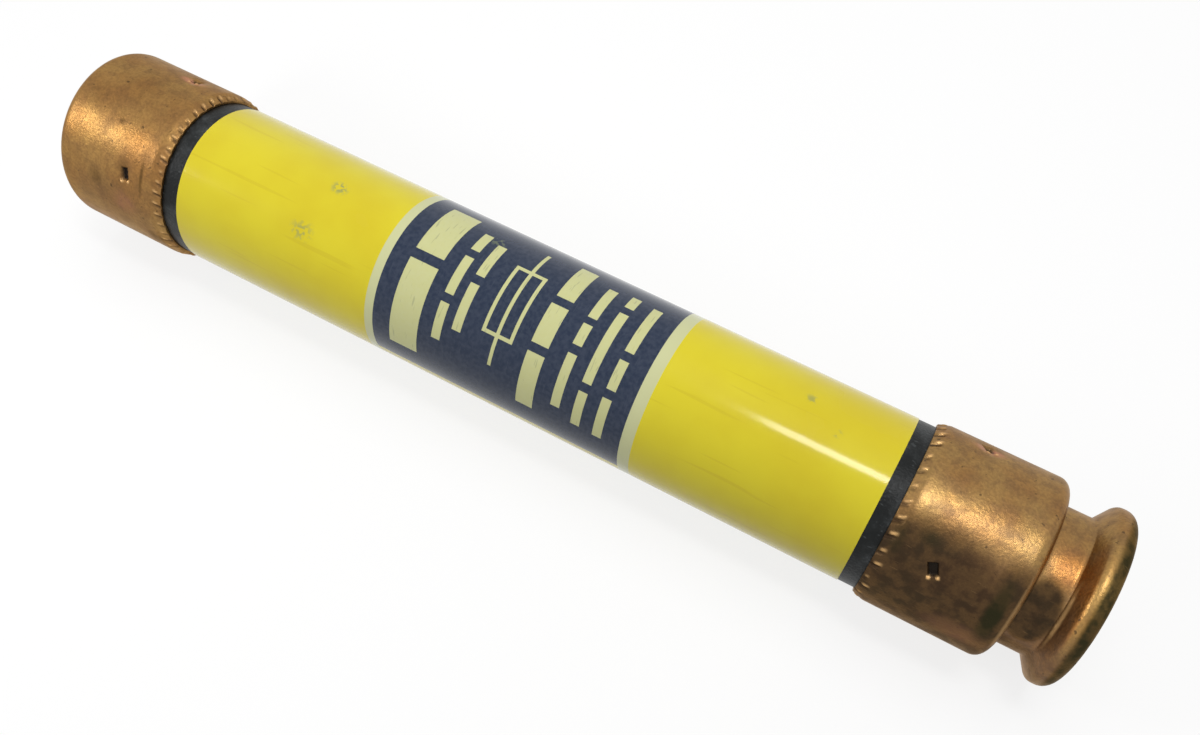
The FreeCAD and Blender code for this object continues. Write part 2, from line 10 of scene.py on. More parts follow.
import bpy
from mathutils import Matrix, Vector


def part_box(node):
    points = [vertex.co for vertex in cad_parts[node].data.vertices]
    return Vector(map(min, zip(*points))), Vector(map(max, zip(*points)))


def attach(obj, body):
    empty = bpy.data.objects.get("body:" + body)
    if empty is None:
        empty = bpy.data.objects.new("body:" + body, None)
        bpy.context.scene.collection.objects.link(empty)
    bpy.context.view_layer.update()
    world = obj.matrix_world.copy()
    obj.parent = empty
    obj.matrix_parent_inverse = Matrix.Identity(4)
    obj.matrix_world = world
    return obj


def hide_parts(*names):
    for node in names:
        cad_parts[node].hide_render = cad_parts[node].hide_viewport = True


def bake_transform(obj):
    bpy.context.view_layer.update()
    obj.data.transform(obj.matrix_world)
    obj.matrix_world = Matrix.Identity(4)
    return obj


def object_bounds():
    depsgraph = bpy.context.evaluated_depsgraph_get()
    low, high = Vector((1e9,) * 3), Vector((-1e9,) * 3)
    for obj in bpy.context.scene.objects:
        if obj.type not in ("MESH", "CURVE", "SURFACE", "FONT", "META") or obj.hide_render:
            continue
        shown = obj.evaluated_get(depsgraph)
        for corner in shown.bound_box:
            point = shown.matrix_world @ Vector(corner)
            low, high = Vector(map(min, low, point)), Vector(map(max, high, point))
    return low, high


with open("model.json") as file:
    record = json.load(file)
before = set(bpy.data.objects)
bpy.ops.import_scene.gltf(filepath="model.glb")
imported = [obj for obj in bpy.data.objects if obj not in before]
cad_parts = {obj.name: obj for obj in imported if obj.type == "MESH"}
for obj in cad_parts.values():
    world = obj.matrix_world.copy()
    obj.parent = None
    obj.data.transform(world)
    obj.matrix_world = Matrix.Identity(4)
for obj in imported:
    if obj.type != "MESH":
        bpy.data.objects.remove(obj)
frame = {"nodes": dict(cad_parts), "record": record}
cad_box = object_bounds()
MM = 0.001

# %% [markdown]
# The camera comes first, because everything is judged through it.
# Its place was fitted to the outline of the whole fuse, within half a pixel: it looks steeply down
# from the front right, close enough for the near end to look larger. A direction and a distance
# from a point on the table say this more plainly than a matrix would. The photo is a trimmed part of
# a larger picture, which a small shift of the lens repeats.

# %% Camera
CAMERA_AZIMUTH = math.radians(29.15)
CAMERA_ELEVATION = math.radians(66.06)
CAMERA_DISTANCE = 114.53 * MM
CAMERA_LENS = 31.93
CAMERA_SHIFT = (-0.017, 0.099)
AIM = Vector((15.0, -12.04, 0.0)) * MM


def direction(azimuth, elevation):
    """The way from the fuse to a point seen at these angles. Azimuth 0 is the front, along -Y."""
    level = math.cos(elevation)
    return Vector((level * math.sin(azimuth), -level * math.cos(azimuth), math.sin(elevation)))


def face_along(thing, way):
    """Turn a camera or lamp so that its back points along way and its top stays up."""
    thing.rotation_euler = way.to_track_quat("Z", "Y").to_euler()


camera = bpy.data.objects.new("camera", bpy.data.cameras.new("camera"))
bpy.context.scene.collection.objects.link(camera)
bpy.context.scene.camera = camera
to_camera = direction(CAMERA_AZIMUTH, CAMERA_ELEVATION)
camera.location = AIM + to_camera * CAMERA_DISTANCE
camera.data.lens = CAMERA_LENS
camera.data.shift_x, camera.data.shift_y = CAMERA_SHIFT
camera.data.clip_start = 1 * MM
face_along(camera, to_camera)
print("camera at", [round(v / MM, 1) for v in camera.location], "mm")

# %% [markdown]
# Every material, the floor and the Geometry Nodes trees are networks of nodes. A few small helpers
# keep that code short: one feeds an input, one adds a node, some do sums, one starts a node group.

# %% Helpers for node trees


def feed(tree, socket, given):
    """Feed an input from an output socket or with a value. A colour is a red, green, blue."""
    if isinstance(given, bpy.types.NodeSocket):
        tree.links.new(given, socket)
    elif socket.type == "RGBA":
        socket.default_value = (*given, 1.0)
    else:
        socket.default_value = given


def add(tree, kind, inputs=None, **settings):
    """Add a node with its settings, and feed its inputs by name or number."""
    node = tree.nodes.new(kind)
    for name, setting in settings.items():
        setattr(node, name, setting)
    for name, given in (inputs or {}).items():
        feed(tree, node.inputs[name], given)
    return node


def maths(tree, operation, *values, clamp=False):
    """Do one sum on numbers or sockets and return its output socket."""
    node = add(tree, "ShaderNodeMath", dict(enumerate(values)), operation=operation, use_clamp=clamp)
    return node.outputs[0]


def times(tree, first, *others):
    for other in others:
        first = maths(tree, "MULTIPLY", first, other)
    return first


def plus(tree, first, second):
    return maths(tree, "ADD", first, second)


def minus(tree, first, second, clamp=False):
    return maths(tree, "SUBTRACT", first, second, clamp=clamp)


def ramp(tree, value, start, end, low=0.0, high=1.0, smooth=True):
    """Carry value from low to high while it runs from start to end, and hold it outside."""
    kind = "SMOOTHSTEP" if smooth else "LINEAR"
    inputs = {"Value": value, "From Min": start, "From Max": end, "To Min": low, "To Max": high}
    return add(tree, "ShaderNodeMapRange", inputs, interpolation_type=kind).outputs["Result"]


def span(tree, value, start, full, fade, end):
    """Rise from 0 at start to 1 at full, and fall from 1 at fade to 0 at end."""
    return times(tree, ramp(tree, value, start, full), ramp(tree, value, fade, end, 1, 0))


def new_group(name, inputs, outputs, kind="ShaderNodeTree"):
    """Start a node group. inputs and outputs map a socket's name to its type and default."""
    tree = bpy.data.node_groups.new(name, kind)
    for in_out, sockets in (("INPUT", inputs), ("OUTPUT", outputs)):
        for socket_name, (socket_kind, default) in sockets.items():
            socket = tree.interface.new_socket(socket_name, in_out=in_out, socket_type=socket_kind)
            if default is not None:
                socket.default_value = default
    return tree, tree.nodes.new("NodeGroupInput").outputs, tree.nodes.new("NodeGroupOutput").inputs


FLOAT = "NodeSocketFloat"
VECTOR = "NodeSocketVector"

# %% [markdown]
# The floor is one pale sheet. Where the camera or a reflection looks at it, which Light Path tells it,
# it is plain white like the photographed one. A floor without any shading would leave the fuse
# floating, so near the fuse it keeps a share of its own, and the fuse has its shadow.

# %% Floor
FLOOR_SIZE = 4.0
FLOOR_SHADE = 0.2
FLOOR_FADE = (0.10, 0.40)
FLOOR_COLOUR = 0.9
FLOOR_BOUNCE = 0.5
WHITE = (1, 1, 1)


def seen_ray(tree):
    """1 for rays from the camera, a reflection or a clear pane, and 0 for rays that carry light."""
    path = add(tree, "ShaderNodeLightPath").outputs
    glossy = maths(tree, "MAXIMUM", path["Is Camera Ray"], path["Is Glossy Ray"])
    return maths(tree, "MAXIMUM", glossy, path["Is Transmission Ray"])


def pale_floor():
    material = bpy.data.materials.new("pale_floor")
    material.use_nodes = True
    tree = material.node_tree
    tree.nodes.clear()
    seen = seen_ray(tree)
    shade = ramp(tree, seen, 0, 1, FLOOR_BOUNCE, FLOOR_COLOUR)
    sheet = add(tree, "ShaderNodeBsdfDiffuse", {"Color": shade})
    white = add(tree, "ShaderNodeEmission", {"Color": WHITE, "Strength": 1.0})
    middle = add(tree, "ShaderNodeTexCoord").outputs["Object"]
    far = add(tree, "ShaderNodeVectorMath", {0: middle}, operation="LENGTH").outputs["Value"]
    share = times(tree, seen, ramp(tree, far, *FLOOR_FADE, 1 - FLOOR_SHADE, 1.0))
    mixed = add(tree, "ShaderNodeMixShader", {0: share, 1: sheet.outputs[0], 2: white.outputs[0]})
    add(tree, "ShaderNodeOutputMaterial", {"Surface": mixed.outputs[0]})
    return material


floor_mesh = bpy.data.meshes.new("floor")
floor_z = cad_box[0][2]
sides = ((-1, -1), (1, -1), (1, 1), (-1, 1))
corners = [(x * FLOOR_SIZE / 2, y * FLOOR_SIZE / 2, floor_z) for x, y in sides]
floor_mesh.from_pydata(corners, [], [(0, 1, 2, 3)])
floor_mesh.materials.append(pale_floor())
floor = bpy.data.objects.new("floor", floor_mesh)
bpy.context.scene.collection.objects.link(floor)
print("floor at", round(floor_z / MM, 2), "mm")

# %% [markdown]
# The sky is a pale grey, as in a light tent, and white for the same rays as the floor. The
# photographed fuse is lit from above and behind, and its near right end is the darkest. So the sky is
# brightest up there, one broad lamp hangs above and behind, and a spot lifts the left end. Neither
# shows in reflections. The streaks on metal and film come from two strip lamps: one above the right
# half, one far out left. A lamp's level says how brightly it lights a sheet that faces it, whatever
# its distance, which is easier to judge than watts. The Standard view then shows that sheet's colour
# as it is written.

# %% Sky and lamps
SKY_BRIGHT = 0.60
SKY_DIM = 0.13
BRIGHTEST = Vector((-0.3, 0.45, 0.84))

world = bpy.data.worlds.new("light_tent")
bpy.context.scene.world = world
world.use_nodes = True
sky = world.node_tree
sky.nodes.clear()
way = {0: add(sky, "ShaderNodeTexCoord").outputs["Generated"], 1: BRIGHTEST.normalized()}
towards = add(sky, "ShaderNodeVectorMath", way, operation="DOT_PRODUCT").outputs["Value"]
light = ramp(sky, towards, 0.0, 1.0, SKY_DIM, SKY_BRIGHT, smooth=False)
strength = maths(sky, "MAXIMUM", light, seen_ray(sky))
backdrop = add(sky, "ShaderNodeBackground", {"Color": WHITE, "Strength": strength})
add(sky, "ShaderNodeOutputWorld", {"Surface": backdrop.outputs[0]})


def new_lamp(name, kind, place, aim_along, level, **settings):
    """A lamp aimed at a point of the axis. Level 1 shows a sheet there in its written colour."""
    data = bpy.data.lights.new(name, kind)
    for setting, value in settings.items():
        setattr(data, setting, value)
    place = Vector(place) * MM
    away = place - Vector((aim_along * MM, 0, 0))
    # A spot's watts count for a whole sphere, and an area lamp's for one side of a sheet.
    spread = 4 if kind == "SPOT" else 1
    data.energy = level * spread * math.pi ** 2 * away.length_squared
    lamp = bpy.data.objects.new(name, data)
    bpy.context.scene.collection.objects.link(lamp)
    lamp.location = place
    face_along(lamp, away)
    return lamp


def area_lamp(name, place, aim_along, width, height, level):
    """A rectangular lamp, with its place and size in millimetres."""
    size = {"shape": "RECTANGLE", "size": width * MM, "size_y": height * MM}
    return new_lamp(name, "AREA", place, aim_along, level, **size)


area_lamp("streak_lamp", (52, -3, 300), aim_along=52, width=115, height=42, level=0.31)
area_lamp("side_lamp", (-345, -152, 247), aim_along=-40, width=110, height=60, level=0.16)
broad = area_lamp("broad_lamp", (0, 120, 380), aim_along=0, width=260, height=200, level=0.32)
cone = {"spot_size": math.radians(46), "spot_blend": 1.0, "shadow_soft_size": 50 * MM}
fill = new_lamp("left_fill", "SPOT", (-110, -230, 190), -62, 0.30, **cone)
for unseen in (broad, fill):
    unseen.visible_glossy = False

bpy.context.scene.view_settings.view_transform = "Standard"

# %% [markdown]
# All the pieces are turned on one axis, so one function makes most of them. It takes an outline of
# points (x along the fuse, radius) and carries it round. A corner may have a radius of its own,
# which becomes an arc, and a stretch may ask for close rows where the surface is marked later.

# %% Outlines with round corners
ARC_STEP = math.radians(9)
SMALL_ARC = 0.35
SMALL_ARC_STEP = math.radians(18)
GUARD = 0.25
PLAIN_SPACING = 3.0


def outline_points(corners):
    """Points along an outline. A corner is (x, radius, rounding, spacing of the stretch after it)."""
    places = [Vector(corner[:2]) for corner in corners]
    rounds = [corner[2] if len(corner) > 2 else 0.0 for corner in corners]
    spacings = [corner[3] if len(corner) > 3 else PLAIN_SPACING for corner in corners]
    stops = [[place] for place in places]
    for i in range(1, len(corners) - 1):
        if rounds[i]:
            stops[i] = arc_points(places[i - 1], places[i], places[i + 1], rounds[i])
    points = []
    for i, stop in enumerate(stops):
        points.extend(stop)
        if i + 1 < len(stops):
            start, end = stop[-1], stops[i + 1][0]
            shares = row_shares((end - start).length, spacings[i], rounds[i], rounds[i + 1])
            points.extend(start.lerp(end, share) for share in shares)
    return points


def row_shares(length, spacing, round_before, round_after):
    """Where rows stand on a stretch. One close beside a round corner keeps its shading to itself."""
    guard = min(GUARD, length / 3) / length if spacing > GUARD else 0.0
    guards = [guard if rounding > SMALL_ARC else 0.0 for rounding in (round_before, round_after)]
    plain = 1 - sum(guards)
    pieces = max(1, math.ceil(plain * length / spacing))
    shares = [guards[0] + plain * step / pieces for step in range(pieces + 1)]
    return [share for share in shares if 0 < share < 1]


def arc_points(before, corner, after, radius):
    """The arc of this radius that touches both stretches beside a corner."""
    way_in = (before - corner).normalized()
    way_out = (after - corner).normalized()
    half_angle = way_in.angle(way_out) / 2
    centre = corner + (way_in + way_out).normalized() * (radius / math.sin(half_angle))
    start = corner + way_in * (radius / math.tan(half_angle)) - centre
    end = corner + way_out * (radius / math.tan(half_angle)) - centre
    turn = math.atan2(start.cross(end), start.dot(end))
    step = ARC_STEP if radius > SMALL_ARC else SMALL_ARC_STEP
    pieces = max(2, math.ceil(abs(turn) / step))
    arc = []
    for i in range(pieces + 1):
        cos, sin = math.cos(turn * i / pieces), math.sin(turn * i / pieces)
        arc.append(centre + Vector((start.x * cos - start.y * sin, start.x * sin + start.y * cos)))
    return arc


# %% Turned pieces
STEPS_ROUND = 540
ON_AXIS = 1e-6
SHARP_EDGE = math.radians(40)


def mesh_object(name, vertices, faces):
    """A smooth-shaded object at the origin, in which only true edges stay sharp."""
    mesh = bpy.data.meshes.new(name)
    mesh.from_pydata(vertices, [], faces)
    mesh.update()
    mesh.shade_smooth()
    mesh.set_sharp_from_angle(angle=SHARP_EDGE)
    piece = bpy.data.objects.new(name, mesh)
    bpy.context.scene.collection.objects.link(piece)
    return piece


def turned(name, corners, closed=False, steps=STEPS_ROUND):
    """Carry an outline in millimetres round the axis. closed joins its last point to its first."""
    vertices, rings = [], []
    for point in outline_points(corners):
        if point.y < ON_AXIS:
            rings.append([len(vertices)] * steps)
            vertices.append((point.x * MM, 0, 0))
            continue
        rings.append(list(range(len(vertices), len(vertices) + steps)))
        for step in range(steps):
            angle = 2 * math.pi * step / steps
            radius = point.y * MM
            vertices.append((point.x * MM, radius * math.cos(angle), radius * math.sin(angle)))
    faces = []
    for here, there in zip(rings, rings[1:] + rings[:1] if closed else rings[1:]):
        for step in range(steps):
            after = (step + 1) % steps
            face = [here[step], here[after], there[after], there[step]]
            faces.append(list(dict.fromkeys(face)))
    return face_outwards(mesh_object(name, vertices, faces))


def volume_of(mesh):
    """Signed volume of a closed mesh: negative when its faces point inwards."""
    total = 0.0
    vertices = mesh.vertices
    for face in mesh.polygons:
        first = vertices[face.vertices[0]].co
        for a, b in zip(face.vertices[1:], face.vertices[2:]):
            total += first.dot(vertices[a].co.cross(vertices[b].co))
    return total / 6


def face_outwards(piece):
    """Turn a piece's faces outwards if they point inwards, and print what it holds."""
    if volume_of(piece.data) < 0:
        piece.data.flip_normals()
    print(piece.name, len(piece.data.polygons), "faces,", round(volume_of(piece.data) * 1e9, 1), "mm3")
    return piece


# %% [markdown]
# The two ferrules are what the eye goes to. Each was drawn from sheet into a cup, and the CAD solid
# has its true outline in few facets. A finer twin replaces it here: the same wall, but with round
# corners that catch the light, a bead on the flange, and rows close enough to carry dents.

# %% Outlines of the ferrules
plain_low, plain_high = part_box("plain_ferrule")
rejection_low, rejection_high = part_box("rejection_ferrule")
tube_low, tube_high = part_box("cartridge_tube")
groove = next(m for m in frame["record"]["mounts"] if m["name"] == "rejection_groove")

SKIRT = plain_high[1] / MM
TUBE = tube_high[1] / MM
TUBE_FIT = 0.05
SKIRT_INSIDE = TUBE + TUBE_FIT
WALL = SKIRT - SKIRT_INSIDE
RIM_DEPTH = 0.4
RIM_TAPER = 1.3
RIM = SKIRT - RIM_DEPTH
PLAIN_END = plain_low[0] / MM
PLAIN_RIM = plain_high[0] / MM
REJECTION_RIM = rejection_low[0] / MM
REJECTION_END = rejection_high[0] / MM
GROOVE_WIDTH = 3.5
STEP_FACE = groove["pos_m"][0] / MM - GROOVE_WIDTH / 2
FLANGE_BACK = STEP_FACE + GROOVE_WIDTH
NECK = 7.9
FLANGE = 10.05
FLARE_SLOPE = 1.43
FLARE_TOP = FLANGE_BACK + (FLANGE - NECK) / FLARE_SLOPE
FLARE_WALL = WALL * math.hypot(1, 1 / FLARE_SLOPE)
STAKE_SIZE = 1.15
PLAIN_STAKE = PLAIN_RIM - 5.1
REJECTION_STAKE = REJECTION_RIM + 5.6
FINE = 0.12
MARKED = 2.3
TAPER_ROWS = 0.9

# %% Ferrules before they are marked
LIP_ROUND = 0.13
TAPER_ROUND = 1.2
END_ROUND = 1.35
CUP_ROUND = 0.5
SHEET_ROUND = 0.3
FLARE_ROUND = 0.2
STEP_ROUND = 0.4
GROOVE_ROUND = 0.45
CREST_ROUND = 0.9


def skirt(rim, stake, end, inwards):
    """Outline of the skirt from its rim to its rounded end, with close rows where marks will be."""
    return [
        (rim, SKIRT_INSIDE, 0, FINE),
        (rim, RIM, LIP_ROUND, FINE),
        (rim + inwards * RIM_TAPER, SKIRT, TAPER_ROUND, FINE),
        (rim + inwards * (RIM_TAPER + TAPER_ROWS), SKIRT),
        (stake - inwards * MARKED, SKIRT, 0, FINE),
        (stake + inwards * MARKED, SKIRT),
        (end, SKIRT, END_ROUND),
    ]


plain_ferrule = turned("plain_cap", [
    (PLAIN_END + WALL, 0),
    (PLAIN_END + WALL, SKIRT_INSIDE, CUP_ROUND),
    *skirt(PLAIN_RIM, PLAIN_STAKE, PLAIN_END, -1),
    (PLAIN_END, 0),
])

rejection_ferrule = turned("rejection_cap", [
    (REJECTION_END - WALL, 0),
    (REJECTION_END - WALL, FLANGE - 2 * WALL, SHEET_ROUND),
    (FLARE_TOP + FLARE_WALL - 2 * WALL / FLARE_SLOPE, FLANGE - 2 * WALL, FLARE_ROUND),
    (FLANGE_BACK + FLARE_WALL - WALL / FLARE_SLOPE, NECK - WALL, FLARE_ROUND),
    (STEP_FACE - WALL, NECK - WALL, SHEET_ROUND),
    (STEP_FACE - WALL, SKIRT_INSIDE, SHEET_ROUND),
    *skirt(REJECTION_RIM, REJECTION_STAKE, STEP_FACE, 1),
    (STEP_FACE, NECK, STEP_ROUND),
    (FLANGE_BACK, NECK, GROOVE_ROUND),
    (FLARE_TOP, FLANGE, CREST_ROUND),
    (REJECTION_END, FLANGE, END_ROUND),
    (REJECTION_END, 0),
])

# %% [markdown]
# The ferrules are held by two kinds of marks. A knurling wheel pressed its teeth all round the rim:
# on the real fuse each tooth left a short leaning dent, with a bright lump squeezed up beside it.
# Four square punches then staked the skirt into the tube. Both repeat round the axis by a rule, so
# one Geometry Nodes tree moves the surface: every point finds which slot of the circle it lies in,
# and how far from that slot's middle. A fixed seed makes each tooth a little different.

# %% Geometry Nodes: places round the axis


def round_places(tree):
    """A point's place along the axis, its radius, its angle in turns and its way outwards."""
    position = add(tree, "GeometryNodeInputPosition").outputs[0]
    x, y, z = add(tree, "ShaderNodeSeparateXYZ", {0: position}).outputs
    flat = add(tree, "ShaderNodeCombineXYZ", {"Y": y, "Z": z}).outputs[0]
    radius = add(tree, "ShaderNodeVectorMath", {0: flat}, operation="LENGTH").outputs["Value"]
    outwards = add(tree, "ShaderNodeVectorMath", {0: flat}, operation="NORMALIZE").outputs[0]
    angle = maths(tree, "ARCTAN2", z, y)
    turns = plus(tree, maths(tree, "DIVIDE", angle, 2 * math.pi), 1.0)
    return x, radius, turns, outwards


def slot_of(tree, turns, count, start=0.0):
    """Which of count equal slots of the circle a point is in, and its place there from -0.5 to 0.5."""
    place = times(tree, minus(tree, turns, start), count)
    index = maths(tree, "FLOOR", place)
    across = minus(tree, minus(tree, place, index), 0.5)
    return maths(tree, "FLOORED_MODULO", index, count), across


def chance(tree, index, seed, low, high):
    """A number of its own for each slot."""
    inputs = {"Min": low, "Max": high, "ID": index, "Seed": seed}
    node = add(tree, "FunctionNodeRandomValue", data_type="FLOAT")
    for socket in node.inputs:
        if socket.enabled and socket.name in inputs:
            feed(tree, socket, inputs[socket.name])
    return next(socket for socket in node.outputs if socket.enabled)


# %% [markdown]
# A tooth's mark is drawn in its slot with soft edges: a dent that runs in from the rim and leans, and
# a lump beside it. A stake is a square hole in one of four slots, turned a little as the real punch
# stood, with a shallow hollow round it and a burr at two corners. Cutting holes would leave rough
# edges. Moving the outer skin in and out keeps the wall closed, and its inner face stays as it is.
# The tree also stores its masks, so that the material paints shade exactly where the metal sinks
# and paints highlights on the lumps and burrs.

# %% Geometry Nodes: knurled rim
MARK_INPUTS = {
    "Geometry": ("NodeSocketGeometry", None),
    "Rim": (FLOAT, 0.0),
    "Inwards": (FLOAT, 1.0),
    "Wall Inside": (FLOAT, SKIRT_INSIDE * MM),
    "Teeth": (FLOAT, 34.0),
    "Tooth Length": (FLOAT, 1.2 * MM),
    "Tooth Depth": (FLOAT, 0.20 * MM),
    "Lump Height": (FLOAT, 0.13 * MM),
    "Stake Place": (FLOAT, 0.0),
    "Stake Turn": (FLOAT, 0.0),
    "Stakes": (FLOAT, 4.0),
    "Stake Size": (FLOAT, STAKE_SIZE * MM),
    "Stake Twist": (FLOAT, math.radians(-25)),
    "Stake Depth": (FLOAT, 0.58 * MM),
    "Dent Depth": (FLOAT, 0.12 * MM),
    "Seed": ("NodeSocketInt", 1),
    "Material": ("NodeSocketMaterial", None),
}
TOOTH_REACH = (0.6, 1.15)
TOOTH_LEAN = (0.14, 0.26)
TOOTH_SHIFT = (-0.12, 0.06)
DENT_PLACE = 0.16
DENT_EDGE = (0.04, 0.19)
DENT_SHARE = (0.45, 1.0)
LUMP_PLACE = -0.06
LUMP_EDGE = (0.04, 0.15)
LUMP_SHARE = (0.5, 1.0)


def tooth_marks(tree, given, x, turns):
    """Masks of the dent that each tooth left and of the lump beside it, placed in shares of its slot."""
    index, across = slot_of(tree, turns, given["Teeth"])
    seed = given["Seed"]
    from_rim = times(tree, minus(tree, x, given["Rim"]), given["Inwards"])
    reach = times(tree, given["Tooth Length"], chance(tree, index, seed, *TOOTH_REACH))
    along = maths(tree, "DIVIDE", from_rim, reach)
    lean = times(tree, along, chance(tree, index, seed, *TOOTH_LEAN))
    shift = plus(tree, lean, chance(tree, index, seed, *TOOTH_SHIFT))
    place = plus(tree, across, shift)
    off_dent = maths(tree, "ABSOLUTE", minus(tree, place, DENT_PLACE))
    off_lump = maths(tree, "ABSOLUTE", minus(tree, place, LUMP_PLACE))
    dent = times(tree, ramp(tree, off_dent, *DENT_EDGE, 1, 0), ramp(tree, along, 0.5, 1.0, 1, 0))
    dent = times(tree, dent, chance(tree, index, seed, *DENT_SHARE))
    lump = times(tree, ramp(tree, off_lump, *LUMP_EDGE, 1, 0), span(tree, along, 0.15, 0.45, 0.6, 1.0))
    lump = times(tree, lump, chance(tree, index, seed, *LUMP_SHARE))
    return dent, lump


# %% Geometry Nodes: punched stakes
STAKE_SQUEEZE = (0.80, 1.18)
HOLE_EDGE = (0.9, 1.1)
HOLLOW_EDGE = (0.9, 3.0)
BURR_ACROSS = (0.8, 1.1, 1.2, 1.6)
BURR_ALONG = (0.35, 0.8, 1.1, 1.5)


def stake_marks(tree, given, x, radius, turns):
    """Masks of the square hole, the soft hollow round it and the burrs. 1 is half the hole's size."""
    _, across = slot_of(tree, turns, given["Stakes"], given["Stake Turn"])
    circle = maths(tree, "DIVIDE", times(tree, radius, 2 * math.pi), given["Stakes"])
    sideways = times(tree, across, circle)
    along = minus(tree, x, given["Stake Place"])
    half = times(tree, given["Stake Size"], 0.5)
    flat = {"X": maths(tree, "DIVIDE", sideways, half), "Y": maths(tree, "DIVIDE", along, half)}
    flat = add(tree, "ShaderNodeCombineXYZ", flat).outputs[0]
    twisted = {"Vector": flat, "Angle": given["Stake Twist"]}
    turned_flat = add(tree, "ShaderNodeVectorRotate", twisted, rotation_type="Z_AXIS").outputs[0]
    u, v, _ = add(tree, "ShaderNodeSeparateXYZ", {0: turned_flat}).outputs
    u, v = times(tree, u, STAKE_SQUEEZE[0]), times(tree, v, STAKE_SQUEEZE[1])
    far_along = maths(tree, "ABSOLUTE", v)
    square = maths(tree, "MAXIMUM", maths(tree, "ABSOLUTE", u), far_along)
    hole = ramp(tree, square, *HOLE_EDGE, 1, 0)
    distance = maths(tree, "SQRT", plus(tree, times(tree, u, u), times(tree, v, v)))
    hollow = ramp(tree, distance, *HOLLOW_EDGE, 1, 0)
    burr = times(tree, span(tree, u, *BURR_ACROSS), span(tree, far_along, *BURR_ALONG))
    return hole, hollow, burr


# %% Geometry Nodes: the whole tree
OUTER_SKIN = (0.1 * MM, 0.35 * MM)


def marked_metal_tree():
    """The tree that knurls and stakes a ferrule, and stores its marks for the material."""
    outputs = {"Geometry": ("NodeSocketGeometry", None)}
    tree, given, result = new_group("marked_metal", MARK_INPUTS, outputs, "GeometryNodeTree")
    x, radius, turns, outwards = round_places(tree)
    within_wall = minus(tree, radius, given["Wall Inside"])
    outside = ramp(tree, within_wall, *OUTER_SKIN)
    dent, lump = tooth_marks(tree, given, x, turns)
    hole, hollow, burr = stake_marks(tree, given, x, radius, turns)
    lift = times(tree, plus(tree, lump, burr), given["Lump Height"])
    hollow = times(tree, hollow, minus(tree, 1.0, hole))
    for mask, depth in ((dent, "Tooth Depth"), (hollow, "Dent Depth"), (hole, "Stake Depth")):
        lift = minus(tree, lift, times(tree, mask, given[depth]))
    lift = times(tree, lift, outside)
    shape = given["Geometry"]
    masks = {"tooth_dent": dent, "tooth_lump": lump, "stake_hole": hole, "stake_burr": burr}
    for name, mask in masks.items():
        store = {"Geometry": shape, "Name": name, "Value": times(tree, mask, outside)}
        store = add(tree, "GeometryNodeStoreNamedAttribute", store, data_type="FLOAT", domain="POINT")
        shape = store.outputs[0]
    offset = add(tree, "ShaderNodeVectorMath", {0: outwards, "Scale": lift}, operation="SCALE")
    moved = {"Geometry": shape, "Offset": offset.outputs[0]}
    shape = add(tree, "GeometryNodeSetPosition", moved).outputs[0]
    shape = add(tree, "GeometryNodeRealizeInstances", {"Geometry": shape}).outputs[0]
    dressed = {"Geometry": shape, "Material": given["Material"]}
    shape = add(tree, "GeometryNodeSetMaterial", dressed).outputs[0]
    tree.links.new(shape, result["Geometry"])
    return tree


def apply_tree(piece, tree, **inputs):
    """Run a Geometry Nodes tree on a piece and keep the plain mesh that comes out."""
    modifier = piece.modifiers.new(tree.name, "NODES")
    modifier.node_group = tree
    for item in tree.interface.items_tree:
        name = item.name.replace(" ", "_").lower()
        if item.in_out == "INPUT" and name in inputs:
            modifier[item.identifier] = inputs[name]
    evaluated = piece.evaluated_get(bpy.context.evaluated_depsgraph_get())
    finished = bpy.data.meshes.new_from_object(evaluated)
    piece.modifiers.remove(modifier)
    piece.data = finished


# %% [markdown]
# Nearly every finish here needs the same few things: where a point is on the turned surface, a
# cloudy mask, fine scratches, and a soft-edged patch at a chosen place. Each is a small node group
# with named inputs, made once. They put out plain masks, so that the shader itself stays in view in
# each material.

# %% Shared groups: places and clouds


def place_on_surface():
    """Millimetres along the fuse, degrees round it with 0 at the back, and the radius."""
    outputs = {"Along": (FLOAT, None), "Turn": (FLOAT, None), "Radius": (FLOAT, None)}
    tree, given, result = new_group("place_on_surface", {"Point": (VECTOR, None)}, outputs)
    x, y, z = add(tree, "ShaderNodeSeparateXYZ", {0: given["Point"]}).outputs
    minus_y, minus_z = times(tree, y, -1.0), times(tree, z, -1.0)
    angle = maths(tree, "DEGREES", maths(tree, "ARCTAN2", minus_z, minus_y))
    square = plus(tree, times(tree, y, y), times(tree, z, z))
    tree.links.new(times(tree, x, 1 / MM), result["Along"])
    tree.links.new(plus(tree, angle, 180.0), result["Turn"])
    tree.links.new(times(tree, maths(tree, "SQRT", square), 1 / MM), result["Radius"])
    return tree


def clouds():
    """Soft random mottling. Size is in millimetres, Low and High set where it starts and ends."""
    inputs = {"Point": (VECTOR, None), "Size": (FLOAT, 1.0), "Low": (FLOAT, 0.4), "High": (FLOAT, 0.6),
              "Detail": (FLOAT, 4.0), "Variant": (FLOAT, 0.0)}
    tree, given, result = new_group("clouds", inputs, {"Mask": (FLOAT, None)})
    scale = maths(tree, "DIVIDE", 1 / MM, given["Size"])
    noise = {"Vector": given["Point"], "W": given["Variant"], "Scale": scale, "Detail": given["Detail"]}
    cloud = add(tree, "ShaderNodeTexNoise", noise, noise_dimensions="4D").outputs[0]
    tree.links.new(ramp(tree, cloud, given["Low"], given["High"]), result["Mask"])
    return tree


# %% Shared groups: patches and scratches


